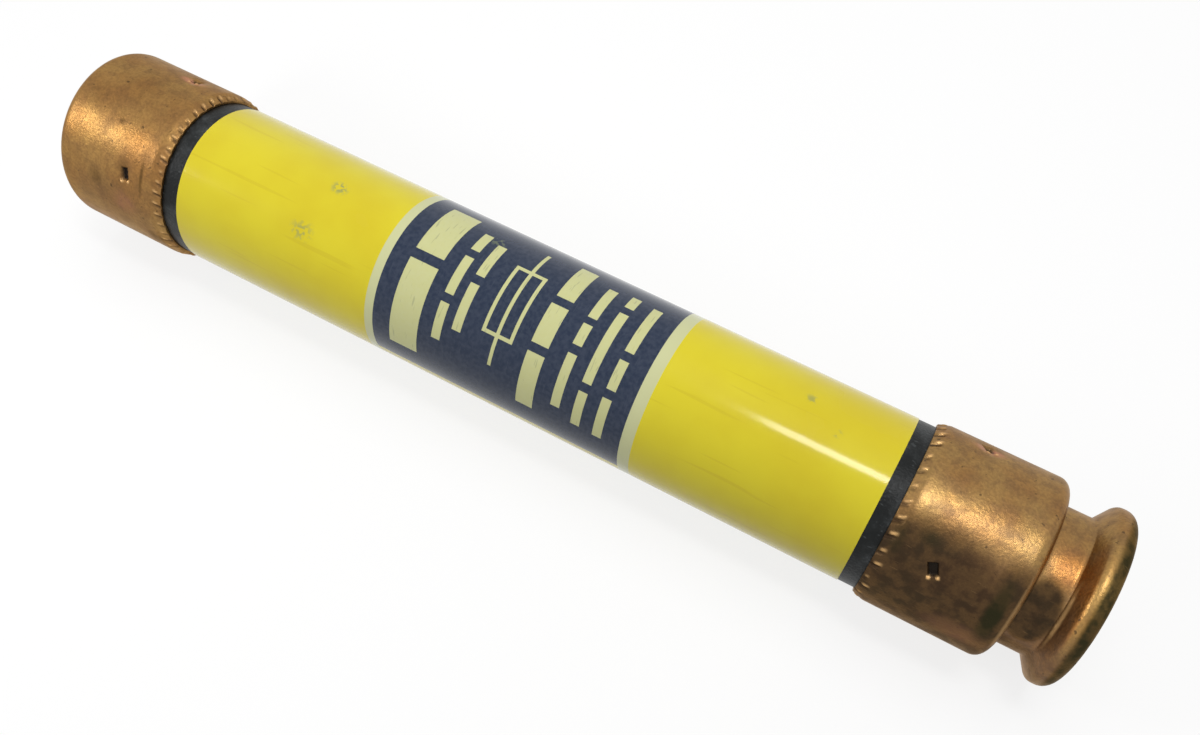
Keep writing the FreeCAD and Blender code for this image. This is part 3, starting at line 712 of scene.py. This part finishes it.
def patch():
    """A soft-edged oval patch at a place on the turned surface, in millimetres and degrees."""
    inputs = {"Along": (FLOAT, None), "Turn": (FLOAT, None), "At": (FLOAT, 0.0), "Angle": (FLOAT, 90.0),
              "Length": (FLOAT, 2.0), "Sweep": (FLOAT, 20.0), "Hardness": (FLOAT, 0.3)}
    tree, given, result = new_group("patch", inputs, {"Mask": (FLOAT, None)})
    along = maths(tree, "DIVIDE", minus(tree, given["Along"], given["At"]), given["Length"])
    turn = maths(tree, "DIVIDE", minus(tree, given["Turn"], given["Angle"]), given["Sweep"])
    square = plus(tree, times(tree, along, along), times(tree, turn, turn))
    distance = times(tree, maths(tree, "SQRT", square), 2.0)
    tree.links.new(ramp(tree, distance, 1.0, given["Hardness"], 0, 1), result["Mask"])
    return tree


def scratches():
    """Thin random scratches. Long and Across are millimetres along and round the fuse."""
    inputs = {"Along": (FLOAT, None), "Turn": (FLOAT, None), "Long": (FLOAT, 6.0),
              "Across": (FLOAT, 0.1), "Amount": (FLOAT, 0.1), "Variant": (FLOAT, 0.0)}
    tree, given, result = new_group("scratches", inputs, {"Mask": (FLOAT, None)})
    long_way = maths(tree, "DIVIDE", given["Along"], given["Long"])
    arc = times(tree, given["Turn"], math.radians(SKIRT))
    cross_way = maths(tree, "DIVIDE", arc, given["Across"])
    stretched = {"X": long_way, "Y": cross_way, "Z": given["Variant"]}
    point = add(tree, "ShaderNodeCombineXYZ", stretched).outputs[0]
    noise = {"Vector": point, "Scale": 1.0, "Detail": 1.0}
    line = add(tree, "ShaderNodeTexNoise", noise).outputs[0]
    start = minus(tree, 0.78, given["Amount"])
    tree.links.new(ramp(tree, line, start, plus(tree, start, 0.06)), result["Mask"])
    return tree


PLACE, CLOUDS, PATCH, SCRATCHES = place_on_surface(), clouds(), patch(), scratches()
print("groups:", [group.name for group in (PLACE, CLOUDS, PATCH, SCRATCHES)])

# %% Groups and colours in a material


def use(tree, group, **inputs):
    """Place a group in a material, with its inputs by name, and return its outputs."""
    inputs = {name.capitalize(): given for name, given in inputs.items()}
    return add(tree, "ShaderNodeGroup", inputs, node_tree=group).outputs


def cloudy(tree, point, size, low, high, detail=4.0, variant=0.0):
    """The mask of the clouds group."""
    shape = {"size": size, "low": low, "high": high, "detail": detail, "variant": variant}
    return use(tree, CLOUDS, point=point, **shape)[0]


def scratched(tree, where, long, across, amount, variant=0.0):
    """The mask of the scratches group."""
    shape = {"long": long, "across": across, "amount": amount, "variant": variant}
    return use(tree, SCRATCHES, along=where["Along"], turn=where["Turn"], **shape)[0]


# The Mix node has sockets for every kind of value. These are the ones for colours.
MIX_A = 6
MIX_B = 7
MIX_RESULT = 2


def mix(tree, share, first, second):
    """Blend two colours. Each is a socket or a linear red, green, blue."""
    inputs = {"Factor": share, MIX_A: first, MIX_B: second}
    return add(tree, "ShaderNodeMix", inputs, data_type="RGBA").outputs[MIX_RESULT]


# %% A material's shader


def new_material(name):
    """A material with a Principled shader, and the places on the surface that it reads."""
    material = bpy.data.materials.new(name)
    material.use_nodes = True
    tree = material.node_tree
    tree.nodes.clear()
    shader = add(tree, "ShaderNodeBsdfPrincipled")
    add(tree, "ShaderNodeOutputMaterial", {"Surface": shader.outputs[0]})
    point = add(tree, "ShaderNodeTexCoord").outputs["Object"]
    return material, tree, shader, point


def finish_with(tree, shader, **inputs):
    """Give the shader its colour, roughness and the rest, by name."""
    for name, given in inputs.items():
        feed(tree, shader.inputs[name.replace("_", " ").title().replace("Ior", "IOR")], given)


def bumps(tree, height, depth, strength=1.0):
    """Turn a height from 0 to 1 into a bent normal. depth is in millimetres."""
    inputs = {"Height": height, "Distance": depth * MM, "Strength": strength}
    return add(tree, "ShaderNodeBump", inputs).outputs[0]


# %% [markdown]
# The ferrules are bronze that has been handled and stored for years. Clean metal shows on the high
# spots and in the neck, where the clip rubbed; where those clean patches follow the lamp's streak they
# are also painted highlight. A brown film covers the rest, and stains gather where liquid dried; on the
# grooved ferrule's underside, shoulder and neck the brown and dark patches are also painted shade. Red
# patches in its neck and flare paint a highlight and a reflection, and thin pale lines paint highlights
# on its fillet and shoulder edge. The film is made by clouds of two sizes. The stains are patches at
# chosen places, and the dents read what the Geometry Nodes tree stored: painted shade in the dents and
# holes, painted highlights on the lumps and burrs.

# %% Aged bronze
CLEAN_BRONZE = (0.44, 0.265, 0.082)
WARM_BRONZE = (0.37, 0.190, 0.055)
RED_BRONZE_AND_REFLECTION = (0.46, 0.195, 0.045)
BROWN_FILM_AND_SHADE = (0.168, 0.088, 0.041)
DARK_FILM_AND_SHADE = (0.040, 0.024, 0.014)
OLIVE_FILM_AND_SHADE = (0.035, 0.026, 0.015)
OLIVE_STAIN = (0.022, 0.023, 0.010)
BARE_COPPER = (0.62, 0.26, 0.17)
FRESH_METAL_AND_HIGHLIGHT = (0.85, 0.52, 0.22)
HOLE_SHADE = (0.006, 0.004, 0.003)
BRONZE_GLINT = (0.82, 0.68, 0.54)
END_FACE_FADE = (5.5, 8.0)


def stored(tree, name):
    """The mask of this name that the Geometry Nodes tree stored."""
    settings = {"attribute_name": name, "attribute_type": "GEOMETRY"}
    return add(tree, "ShaderNodeAttribute", **settings).outputs["Fac"]


def stain(tree, where, patches, break_up):
    """The strongest of several patches, broken up by clouds and kept off the middle of an end face."""
    total = 0.0
    for at, angle, length, sweep, hardness, amount in patches:
        mask = use(tree, PATCH, along=where["Along"], turn=where["Turn"], at=at, angle=angle,
                   length=length, sweep=sweep, hardness=hardness)[0]
        total = maths(tree, "MAXIMUM", total, times(tree, mask, amount))
    if not patches:
        return total
    return times(tree, total, break_up, ramp(tree, where["Radius"], *END_FACE_FADE))


def aged_bronze(name, film, variant, lacquer, brown, dark, olive, clean_and_highlight, red, pink, painted_highlight_lines):
    """Bronze under a brown film, with painted shade and painted highlights in some patches. A patch is
    (place, angle, length, sweep, hardness, amount).
    """
    material, tree, shader, point = new_material(name)
    where = use(tree, PLACE, point=point)
    broad = cloudy(tree, point, 5.0, 0.35, 0.68, variant=variant)
    blotch = cloudy(tree, point, 1.6, 0.38, 0.66, detail=6.0, variant=variant + 3)
    grain = cloudy(tree, point, 0.28, 0.3, 0.7, detail=3.0, variant=variant + 5)
    speck = cloudy(tree, point, 0.55, 0.66, 0.74, detail=2.0, variant=variant + 7)
    broken = ramp(tree, blotch, 0.0, 1.0, 0.55, 1.0)
    even = ramp(tree, blotch, 0.0, 1.0, 0.78, 1.0)
    marks = scratched(tree, where, 1.6, 0.16, 0.08)

    colour = mix(tree, broad, CLEAN_BRONZE, WARM_BRONZE)
    # Partly a red tone of the metal, partly painted: on the grooved ferrule these patches paint a
    # highlight and a reflection.
    colour = mix(tree, stain(tree, where, red, even), colour, RED_BRONZE_AND_REFLECTION)
    film_and_shade_mask = times(tree, ramp(tree, blotch, 0, 1, 0.45, 1.0), film)
    # Brown patches are film, and on the grooved ferrule's underside also painted shade.
    film_and_shade_mask = maths(tree, "MAXIMUM", film_and_shade_mask, stain(tree, where, brown, even))
    film_and_shade_mask = minus(tree, film_and_shade_mask, stain(tree, where, clean_and_highlight, broken), clamp=True)
    colour = mix(tree, film_and_shade_mask, colour, BROWN_FILM_AND_SHADE)
    colour = mix(tree, times(tree, grain, 0.28), colour, DARK_FILM_AND_SHADE)
    # Dark patches are stains, and on the grooved ferrule's underside, shoulder and neck also painted
    # shade.
    dark_mask = stain(tree, where, dark, even)
    olive_mask = stain(tree, where, olive, even)
    colour = mix(tree, dark_mask, colour, mix(tree, broad, DARK_FILM_AND_SHADE, OLIVE_FILM_AND_SHADE))
    colour = mix(tree, olive_mask, colour, OLIVE_STAIN)
    colour = mix(tree, times(tree, speck, 0.7), colour, DARK_FILM_AND_SHADE)
    colour = mix(tree, stain(tree, where, pink, broken), colour, BARE_COPPER)
    colour = mix(tree, times(tree, marks, 0.06), colour, FRESH_METAL_AND_HIGHLIGHT)
    # Painted highlights: thin pale, less metallic lines on the grooved ferrule's fillet and shoulder
    # edge.
    painted_highlight_mask = stain(tree, where, painted_highlight_lines, even)
    colour = mix(tree, painted_highlight_mask, colour, FRESH_METAL_AND_HIGHLIGHT)

    # Painted shade: the knurl dents are darkened by the mask that the tree stored.
    dent_shade = times(tree, stored(tree, "tooth_dent"), 0.85)
    colour = mix(tree, dent_shade, colour, DARK_FILM_AND_SHADE)
    # Painted highlights: the knurl lumps and the stake burrs are lightened with pale metal.
    colour = mix(tree, times(tree, stored(tree, "tooth_lump"), 0.6), colour, FRESH_METAL_AND_HIGHLIGHT)
    colour = mix(tree, times(tree, stored(tree, "stake_burr"), 0.9), colour, FRESH_METAL_AND_HIGHLIGHT)
    # Painted shade: the stake holes are only shallow pits, painted dark.
    colour = mix(tree, stored(tree, "stake_hole"), colour, HOLE_SHADE)

    rough = ramp(tree, blotch, 0, 1, 0.34, 0.42, smooth=False)
    rough = plus(tree, rough, times(tree, film_and_shade_mask, 0.08))
    metal = minus(tree, 1.0, times(tree, film_and_shade_mask, 0.12))
    metal = minus(tree, metal, times(tree, painted_highlight_mask, 0.5), clamp=True)
    # Painted shade: the holes are not metallic, so they stay dark.
    metal = times(tree, metal, minus(tree, 1.0, stored(tree, "stake_hole")))
    height = plus(tree, times(tree, grain, 0.6), times(tree, blotch, 0.3))
    normal = bumps(tree, height, 0.024, 0.8)
    coat = ramp(tree, maths(tree, "MAXIMUM", dark_mask, olive_mask), 0.0, 0.5, lacquer, 0.0)
    finish_with(tree, shader, base_color=colour, roughness=rough, metallic=metal, normal=normal,
                specular_ior_level=0.2, specular_tint=BRONZE_GLINT, coat_weight=coat,
                coat_roughness=0.32)
    return material


# %% [markdown]
# Stains, painted shade and painted highlights are placed where the photographed fuse has them, in
# millimetres along it and degrees round it: 90 is the top, and the camera faces about 116. Then the
# tree marks both ferrules, and each one takes the place of its CAD node.

# %% Stains, painted shade and painted highlights of both ferrules
plain_bronze = aged_bronze(
    "plain_bronze", film=0.45, variant=1.0, lacquer=0.12,
    brown=[(-55, 165, 22, 66, 0.2, 0.7), (-52, 90, 6, 50, 0.1, 0.3)],
    dark=[(-50.8, 138, 0.8, 36, 0.1, 0.7), (-55.5, 110, 1.2, 7, 0.1, 0.5),
          (-57.5, 152, 3.4, 18, 0.1, 0.35), (-50, 185, 4, 30, 0.1, 0.5),
          (-53.4, 138, 2.2, 18, 0.1, 0.35)],
    olive=[(-56, 78, 14, 70, 0.1, 0.12), (-60, 100, 6, 40, 0.1, 0.12)],
    # Partly clean metal, partly painted highlight: these patches lift the film along the lamp's streak.
    clean_and_highlight=[(-60, 122, 8, 34, 0.1, 0.6), (-53, 118, 9, 20, 0.1, 0.5)],
    red=[(-55, 110, 30, 150, 0.2, 0.35)],
    pink=[(-53.3, 54, 4.5, 13, 0.3, 0.8), (-53.5, 162, 5, 24, 0.2, 0.2)],
    painted_highlight_lines=[],
)
rejection_bronze = aged_bronze(
    "rejection_bronze", film=0.55, variant=12.0, lacquer=0.22,
    # Partly brown film, partly painted shade: the broad patch darkens the underside.
    brown=[(50, 160, 60, 140, 0.4, 1.0), (50, 60, 12, 40, 0.2, 0.3)],
    # Partly stains, partly painted shade: these darken the underside, the shoulder's foot and the neck.
    dark=[(46, 151, 24, 96, 0.55, 0.9), (50, 184, 30, 40, 0.4, 0.66),
          (44.6, 140, 3.5, 30, 0.15, 0.8), (54.5, 146, 6, 80, 0.5, 0.88),
          (57.9, 142, 5.0, 66, 0.7, 0.95)],
    olive=[(54.3, 147, 2.4, 56, 0.4, 0.85), (63.4, 125, 3.6, 230, 0.6, 0.95),
           (43.0, 130, 2.0, 30, 0.2, 0.4), (45.6, 122, 3.0, 16, 0.1, 0.4)],
    # Partly clean metal, partly painted highlight: on the streak, the neck's bright spot and the flange
    # crest.
    clean_and_highlight=[(59, 101, 5, 24, 0.3, 0.3), (46, 100, 8, 14, 0.1, 0.3), (61.6, 120, 1.8, 90, 0.3, 0.9)],
    # Partly red metal, partly painted: the neck patch paints the lamp's orange highlight, the flare band
    # an inter-reflection.
    red=[(58.8, 103, 5.0, 44, 0.3, 1.0), (60.7, 130, 1.6, 120, 0.5, 1.0),
         (60, 170, 8, 40, 0.2, 0.6)],
    pink=[(47.4, 51, 4.5, 13, 0.3, 0.8), (52, 172, 9, 26, 0.2, 0.14)],
    # Painted highlights: pale lines along the flange's fillet and the shoulder's edge.
    painted_highlight_lines=[(60.15, 136, 0.5, 66, 0.2, 0.8), (56.0, 142, 0.9, 84, 0.2, 0.42)],
)

# %% Mark the ferrules and put them in place
# A stake stands in the middle of its slot, half a slot past the slot's start.
HALF_SLOT = 45
PLAIN_STAKE_ANGLE = 51
REJECTION_STAKE_ANGLE = 48.5
mark_tree = marked_metal_tree()
print("marks:", len(mark_tree.nodes), "nodes")
apply_tree(plain_ferrule, mark_tree, rim=PLAIN_RIM * MM, inwards=-1.0, teeth=46.0,
           tooth_length=1.0 * MM, stake_place=PLAIN_STAKE * MM,
           stake_turn=(PLAIN_STAKE_ANGLE + HALF_SLOT) / 360, stake_twist=math.radians(-12),
           seed=3, material=plain_bronze)
apply_tree(rejection_ferrule, mark_tree, rim=REJECTION_RIM * MM, inwards=1.0,
           stake_place=REJECTION_STAKE * MM,
           stake_turn=(REJECTION_STAKE_ANGLE + HALF_SLOT) / 360, seed=8,
           material=rejection_bronze)


def stands_for(piece, node):
    """Let a new piece ride on the cartridge in place of a CAD node."""
    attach(piece, "cartridge")
    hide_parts(node)
    print(piece.name, "stands for", node)


stands_for(plain_ferrule, "plain_ferrule")
stands_for(rejection_ferrule, "rejection_ferrule")

# %% [markdown]
# The tube shows only as two narrow bands beside the label. It is a hard black fibre tube, rubbed to
# grey-blue in places. A finely turned twin keeps its edge round next to the label.

# %% Black tube
BLACK = (0.004, 0.005, 0.005)
RUBBED = (0.065, 0.071, 0.073)


def black_fibre():
    """Hard black tube with rubbed, scuffed places."""
    material, tree, shader, point = new_material("black_fibre")
    where = use(tree, PLACE, point=point)
    smudge = cloudy(tree, point, 2.6, 0.42, 0.75, detail=5.0, variant=4.0)
    fine = cloudy(tree, point, 0.3, 0.35, 0.75, detail=3.0, variant=9.0)
    scuff = scratched(tree, where, 0.8, 0.5, 0.12)
    rubbed = times(tree, smudge, ramp(tree, fine, 0, 1, 0.45, 1.0))
    rubbed = maths(tree, "MAXIMUM", rubbed, times(tree, scuff, 0.5))
    colour = mix(tree, rubbed, BLACK, RUBBED)
    rough = ramp(tree, rubbed, 0, 1, 0.38, 0.6, smooth=False)
    finish_with(tree, shader, base_color=colour, roughness=rough, specular_ior_level=0.2,
                normal=bumps(tree, fine, 0.02))
    return material


tube_left, tube_right = tube_low[0] / MM, tube_high[0] / MM
BORE = 6.35
TUBE_EDGE = 0.2
TUBE_SPACING = 20
tube = turned("black_tube", [
    (tube_left, BORE, 0, TUBE_SPACING),
    (tube_right, BORE),
    (tube_right, TUBE, TUBE_EDGE, TUBE_SPACING),
    (tube_left, TUBE, TUBE_EDGE),
], closed=True, steps=256)
tube.data.materials.append(black_fibre())
stands_for(tube, "cartridge_tube")

# %% [markdown]
# The label is a strip of glossy printed film, wrapped once round the tube with its end lapped over
# its start underneath. A solid ring would hide that step, so the strip is built as a spiral: its
# inner face climbs by one thickness where it reaches its own start.

# %% Label strip
label_low, label_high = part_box("label_wrap")
LABEL_LEFT, LABEL_RIGHT = label_low[0] / MM, label_high[0] / MM
FILM = 0.1
LAP = 24
LAP_START = 250
CLIMB = 14


def spiral_radius(turned_by):
    """Inner radius of the strip, after it has gone this many degrees from its start."""
    share = min(1.0, max(0.0, (turned_by - (360 - CLIMB)) / CLIMB))
    return TUBE + FILM * share * share * (3 - 2 * share)


def label_strip():
    """The wrapped strip, as one closed band with a step at each end."""
    vertices, faces = [], []
    turns = range(0, 360 + LAP + 1)
    for turned_by in turns:
        angle = math.radians(LAP_START + turned_by)
        inner = spiral_radius(turned_by)
        outer = inner + FILM
        section = ((LABEL_LEFT, inner), (LABEL_RIGHT, inner), (LABEL_RIGHT, outer), (LABEL_LEFT, outer))
        for x, radius in section:
            vertices.append((x * MM, radius * MM * math.cos(angle), radius * MM * math.sin(angle)))
    for step in turns[:-1]:
        here, there = 4 * step, 4 * (step + 1)
        for corner in range(4):
            after = (corner + 1) % 4
            faces.append((here + corner, here + after, there + after, there + corner))
    last = 4 * turns[-1]
    faces.append((0, 3, 2, 1))
    faces.append((last, last + 1, last + 2, last + 3))
    return face_outwards(mesh_object("label_strip", vertices, faces))


label = label_strip()

# %% [markdown]
# The print is yellow with a dark blue panel between two pale bands. What the real panel says is left
# off: plain cream bars of word-like lengths and a plain fuse symbol, a box on a line, stand there.
# They are drawn by a group that masks one bar with crisp ends, placed once for each bar.

# %% Printed bars


def bar():
    """A crisp bar on the turned surface: its middle and height in millimetres, its ends in degrees."""
    inputs = {"Along": (FLOAT, None), "Turn": (FLOAT, None), "At": (FLOAT, 0.0),
              "Height": (FLOAT, 1.0), "Start": (FLOAT, 60.0), "End": (FLOAT, 120.0)}
    tree, given, result = new_group("bar", inputs, {"Mask": (FLOAT, None)})
    off = maths(tree, "ABSOLUTE", minus(tree, given["Along"], given["At"]))
    in_row = maths(tree, "LESS_THAN", times(tree, off, 2.0), given["Height"])
    after = maths(tree, "GREATER_THAN", given["Turn"], given["Start"])
    before = maths(tree, "LESS_THAN", given["Turn"], given["End"])
    tree.links.new(times(tree, in_row, times(tree, after, before)), result["Mask"])
    return tree


BAR = bar()

# %% Rows of bars and the fuse symbol
PANEL = (-18.5, 13.2)
PANEL_ENDS = (4, 188)
ALL_ROUND = (-1, 361)
PALE_BANDS = ((-19.05, 1.1), (13.9, 1.4))
BAR_ROWS = (
    (-14.4, 3.6, ((54, 100), (107, 170))),
    (-10.3, 1.1, ((66, 84), (90, 118), (124, 150))),
    (-8.1, 1.1, ((71, 99), (105, 138))),
    (1.4, 2.1, ((53, 88), (94, 122), (128, 168))),
    (5.1, 1.1, ((63, 92), (97, 112), (118, 156))),
    (7.75, 1.1, ((60, 73), (79, 131), (137, 163))),
    (10.45, 1.1, ((62, 102), (108, 128), (134, 164))),
)
SYMBOL_AT = -3.4
SYMBOL_LINE = 0.42
SYMBOL_BOX = (80, 130)
SYMBOL_ENDS = (58, 150)
SYMBOL_HEIGHT = 3.8


def bars(tree, where, rows):
    """The mask of all bars in rows of (middle, height, spans round the fuse)."""
    total = 0.0
    for at, height, spans in rows:
        for start, end in spans:
            place = {"at": at, "height": height, "start": start, "end": end}
            mask = use(tree, BAR, along=where["Along"], turn=where["Turn"], **place)[0]
            total = maths(tree, "MAXIMUM", total, mask)
    return total


def fuse_symbol(tree, where):
    """A box on a line, drawn with one line width."""
    width = math.degrees(SYMBOL_LINE / TUBE)
    left, right = SYMBOL_BOX
    hollow = (left + width, right - width)
    box = bars(tree, where, [(SYMBOL_AT, SYMBOL_HEIGHT, (SYMBOL_BOX,))])
    inside = bars(tree, where, [(SYMBOL_AT, SYMBOL_HEIGHT - 2 * SYMBOL_LINE, (hollow,))])
    line = bars(tree, where, [(SYMBOL_AT, SYMBOL_LINE, (SYMBOL_ENDS,))])
    return maths(tree, "MAXIMUM", minus(tree, box, inside), line)


# %% [markdown]
# The film is glossy, but years of handling show on it: its blue ink is rubbed, hair-fine scratches and
# creases run along it, and a few small scuffs took its colour off. A plain gloss would look new. So
# the print has a softer gloss, broken by the scratches, and a clear coat over it gives the sharp
# streak.

# %% Label film
YELLOW = (0.66, 0.56, 0.014)
YELLOW_DEEP = (0.61, 0.49, 0.010)
YELLOW_CREASE_SHADE = (0.50, 0.37, 0.008)
NAVY = (0.009, 0.020, 0.048)
NAVY_WORN = (0.036, 0.048, 0.080)
CREAM = (0.54, 0.54, 0.25)
PALE = (0.55, 0.56, 0.30)
SCUFF = (0.20, 0.24, 0.10)
SCUFFED = [(-28.0, 85, 3.0, 14, 0.1, 0.9), (-29.4, 123, 4.0, 20, 0.1, 0.6),
           (29.3, 76, 2.0, 10, 0.1, 0.6), (33.2, 91, 1.4, 8, 0.1, 0.5), (-9.0, 68, 3.0, 12, 0.1, 0.5)]


def printed_film():
    """The printed side of the film under its gloss."""
    material, tree, shader, point = new_material("printed_film")
    where = use(tree, PLACE, point=point)
    tone = cloudy(tree, point, 9.0, 0.3, 0.7, detail=3.0, variant=2.0)
    fine = cloudy(tree, point, 0.5, 0.3, 0.7, variant=6.0)
    wear = scratched(tree, where, 0.25, 2.5, 0.13)
    along_scratch = scratched(tree, where, 9.0, 0.14, 0.08, variant=5.0)
    crease = scratched(tree, where, 16.0, 0.8, 0.12, variant=3.0)

    yellow = mix(tree, tone, YELLOW, YELLOW_DEEP)
    # Painted shade: the creases are drawn as darker yellow lines.
    yellow = mix(tree, times(tree, crease, 0.3), yellow, YELLOW_CREASE_SHADE)
    navy = mix(tree, times(tree, fine, 0.7), NAVY, NAVY_WORN)
    navy = mix(tree, times(tree, wear, 0.5), navy, NAVY_WORN)
    cream = mix(tree, times(tree, fine, 0.35), CREAM, PALE)
    print_mask = maths(tree, "MAXIMUM", bars(tree, where, BAR_ROWS), fuse_symbol(tree, where))
    panel_middle, panel_width = sum(PANEL) / 2, PANEL[1] - PANEL[0]
    panel = bars(tree, where, [(panel_middle, panel_width, (PANEL_ENDS,))])
    bands = bars(tree, where, [(at, height, (ALL_ROUND,)) for at, height in PALE_BANDS])
    worn_print = times(tree, print_mask, ramp(tree, wear, 0, 1, 1.0, 0.75))
    colour = mix(tree, panel, yellow, mix(tree, worn_print, navy, cream))
    colour = mix(tree, bands, colour, PALE)

    scuffs = stain(tree, where, SCUFFED, ramp(tree, fine, 0.45, 0.75))
    colour = mix(tree, scuffs, colour, SCUFF)
    rough = ramp(tree, tone, 0, 1, 0.20, 0.28, smooth=False)
    rough = plus(tree, rough, times(tree, along_scratch, 0.2))
    rough = plus(tree, rough, times(tree, scuffs, 0.3))
    height = minus(tree, times(tree, tone, 0.6), times(tree, scuffs, 0.5))
    normal = bumps(tree, height, 0.025, 0.6)
    finish_with(tree, shader, base_color=colour, roughness=rough, normal=normal,
                specular_ior_level=0.06, coat_weight=0.7, coat_roughness=0.11, coat_ior=1.4)
    return material


label.data.materials.append(printed_film())
stands_for(label, "label_wrap")

# %% [markdown]
# Inside the tube the CAD solids already have their true shape, and each only needs a finish of its
# own: machined brass and copper with a little tarnish, frosty solder, pressed fibre and quartz sand.
# Three functions make them all, and a table says which node gets which.

# %% Three finishes for the pieces inside


def worked_metal(name, bright, tarnish, rough=0.3, size=2.0, depth=0.02):
    """Metal that was turned, pressed or cast: cloudy tarnish over a bright ground, faintly uneven."""
    material, tree, shader, point = new_material(name)
    cloud = cloudy(tree, point, size, 0.35, 0.72, detail=5.0, variant=size)
    grain = cloudy(tree, point, 0.2, 0.3, 0.7, detail=3.0, variant=8.0)
    colour = mix(tree, cloud, bright, tarnish)
    colour = mix(tree, times(tree, grain, 0.2), colour, tarnish)
    rough_map = ramp(tree, cloud, 0, 1, rough, rough + 0.15, smooth=False)
    finish_with(tree, shader, base_color=colour, roughness=rough_map, metallic=1.0,
                normal=bumps(tree, grain, depth))
    return material


THREAD_STRETCH = (0.4, 1.0, 4.0)


def pressed_fibre(name, light, dark):
    """Fibre board: short threads pressed flat, matt and slightly mottled."""
    material, tree, shader, point = new_material(name)
    stretched = {"Vector": point, "Scale": THREAD_STRETCH}
    threads = add(tree, "ShaderNodeMapping", stretched).outputs[0]
    thread = cloudy(tree, threads, 0.5, 0.35, 0.65, detail=5.0)
    cloud = cloudy(tree, point, 2.5, 0.3, 0.7, variant=3.0)
    colour = mix(tree, cloud, light, dark)
    colour = mix(tree, times(tree, thread, 0.4), colour, dark)
    finish_with(tree, shader, base_color=colour, roughness=0.85, normal=bumps(tree, thread, 0.05))
    return material


SAND_GRAIN = 0.35
SAND_GAP_SHADE = (0.16, 0.13, 0.09)


def packed_sand(name, light, dark):
    """Quartz sand: every grain has its own tone, and the gaps between them get painted shade."""
    material, tree, shader, point = new_material(name)
    grains = {"Vector": point, "Scale": 1 / (SAND_GRAIN * MM)}
    cell = add(tree, "ShaderNodeTexVoronoi", grains).outputs
    gap = add(tree, "ShaderNodeTexVoronoi", grains, feature="DISTANCE_TO_EDGE").outputs[0]
    shade = add(tree, "ShaderNodeSeparateColor", {0: cell["Color"]}).outputs[0]
    colour = mix(tree, shade, light, dark)
    colour = mix(tree, ramp(tree, gap, 0.0, 0.12, 0.8, 0.0), colour, SAND_GAP_SHADE)
    rounded = bumps(tree, ramp(tree, gap, 0.0, 0.25), 0.08)
    finish_with(tree, shader, base_color=colour, roughness=0.6, normal=rounded)
    return material


# %% Which piece inside gets which finish
BRASS = worked_metal("turned_brass", (0.60, 0.42, 0.15), (0.30, 0.18, 0.06), 0.26)
SOLDER = worked_metal("solder_grey", (0.60, 0.60, 0.58), (0.34, 0.34, 0.34), 0.34, size=1.0, depth=0.06)
COPPER = worked_metal("strip_copper", (0.72, 0.31, 0.16), (0.36, 0.13, 0.06), 0.28)
FIBRE = pressed_fibre("fibre_board", (0.46, 0.43, 0.37), (0.26, 0.23, 0.18))
SAND = packed_sand("quartz_sand", (0.82, 0.78, 0.68), (0.50, 0.44, 0.34))
INNER_FINISHES = {
    "heater_strip": worked_metal("heater_alloy", (0.42, 0.40, 0.38), (0.20, 0.17, 0.15), 0.35, size=1.2),
    "heat_absorber": worked_metal("copper_block", (0.66, 0.29, 0.15), (0.30, 0.11, 0.05), 0.3, size=3.0),
    "trip_solder": worked_metal("trip_alloy", (0.68, 0.68, 0.67), (0.44, 0.44, 0.44), 0.22, size=0.8),
    "trip_plunger": worked_metal("plunger_brass", (0.66, 0.49, 0.20), (0.36, 0.24, 0.09), 0.2, size=1.5),
    "chamber_liner": FIBRE, "trip_barrel": BRASS, "barrel_cap": BRASS,
}
PAIRS = {"end_washer": BRASS, "end_solder": SOLDER, "fuse_link": COPPER, "sand_fill": SAND,
         "barrier_disc": FIBRE}
for side in ("plain", "rejection"):
    INNER_FINISHES.update({f"{side}_{piece}": finish for piece, finish in PAIRS.items()})
for node, material in INNER_FINISHES.items():
    for material_slot in frame["nodes"][node].material_slots:
        material_slot.material = material
print("finished inside:", len(INNER_FINISHES), "nodes")

# %% [markdown]
# The trip spring is the one piece inside that the CAD solid shows in coarse facets. A round wire
# wound on a helix stands for it.

# %% Trip spring
spring_low, spring_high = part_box("trip_spring")
WIRE = 0.3
COIL_TURNS = 3
STEPS_PER_TURN = 72
WIRE_SIDES = 20
coil_radius = spring_high[2] / MM - WIRE
wire_start, wire_end = spring_low[0] / MM + WIRE, spring_high[0] / MM - WIRE


def wire_frame(share):
    """The wire's middle there, and the two directions across it."""
    turn = math.pi / 2 + 2 * math.pi * COIL_TURNS * share
    outwards = Vector((0, math.cos(turn), math.sin(turn)))
    middle = Vector((wire_start + (wire_end - wire_start) * share, 0, 0)) + outwards * coil_radius
    climb = (wire_end - wire_start) / (2 * math.pi * COIL_TURNS * coil_radius)
    along = Vector((climb, -math.sin(turn), math.cos(turn))).normalized()
    return middle, outwards, along.cross(outwards)


def wound_wire(name):
    """The spring's wire, as a closed tube along its helix."""
    steps = COIL_TURNS * STEPS_PER_TURN
    vertices, faces = [], []
    for step in range(steps + 1):
        middle, outwards, across = wire_frame(step / steps)
        for side in range(WIRE_SIDES):
            angle = 2 * math.pi * side / WIRE_SIDES
            way = outwards * math.cos(angle) + across * math.sin(angle)
            vertices.append((middle + way * WIRE) * MM)
    for step in range(steps):
        here, there = step * WIRE_SIDES, (step + 1) * WIRE_SIDES
        for side in range(WIRE_SIDES):
            after = (side + 1) % WIRE_SIDES
            faces.append((here + side, here + after, there + after, there + side))
    faces.append(tuple(range(WIRE_SIDES)))
    faces.append(tuple(reversed(range(steps * WIRE_SIDES, (steps + 1) * WIRE_SIDES))))
    return face_outwards(mesh_object(name, vertices, faces))


spring = wound_wire("wound_spring")
steel = worked_metal("spring_steel", (0.36, 0.36, 0.38), (0.16, 0.15, 0.15), 0.26, size=1.0)
spring.data.materials.append(steel)
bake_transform(spring)
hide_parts("trip_spring")

# %% Finish
print("CAD box:", cad_box)
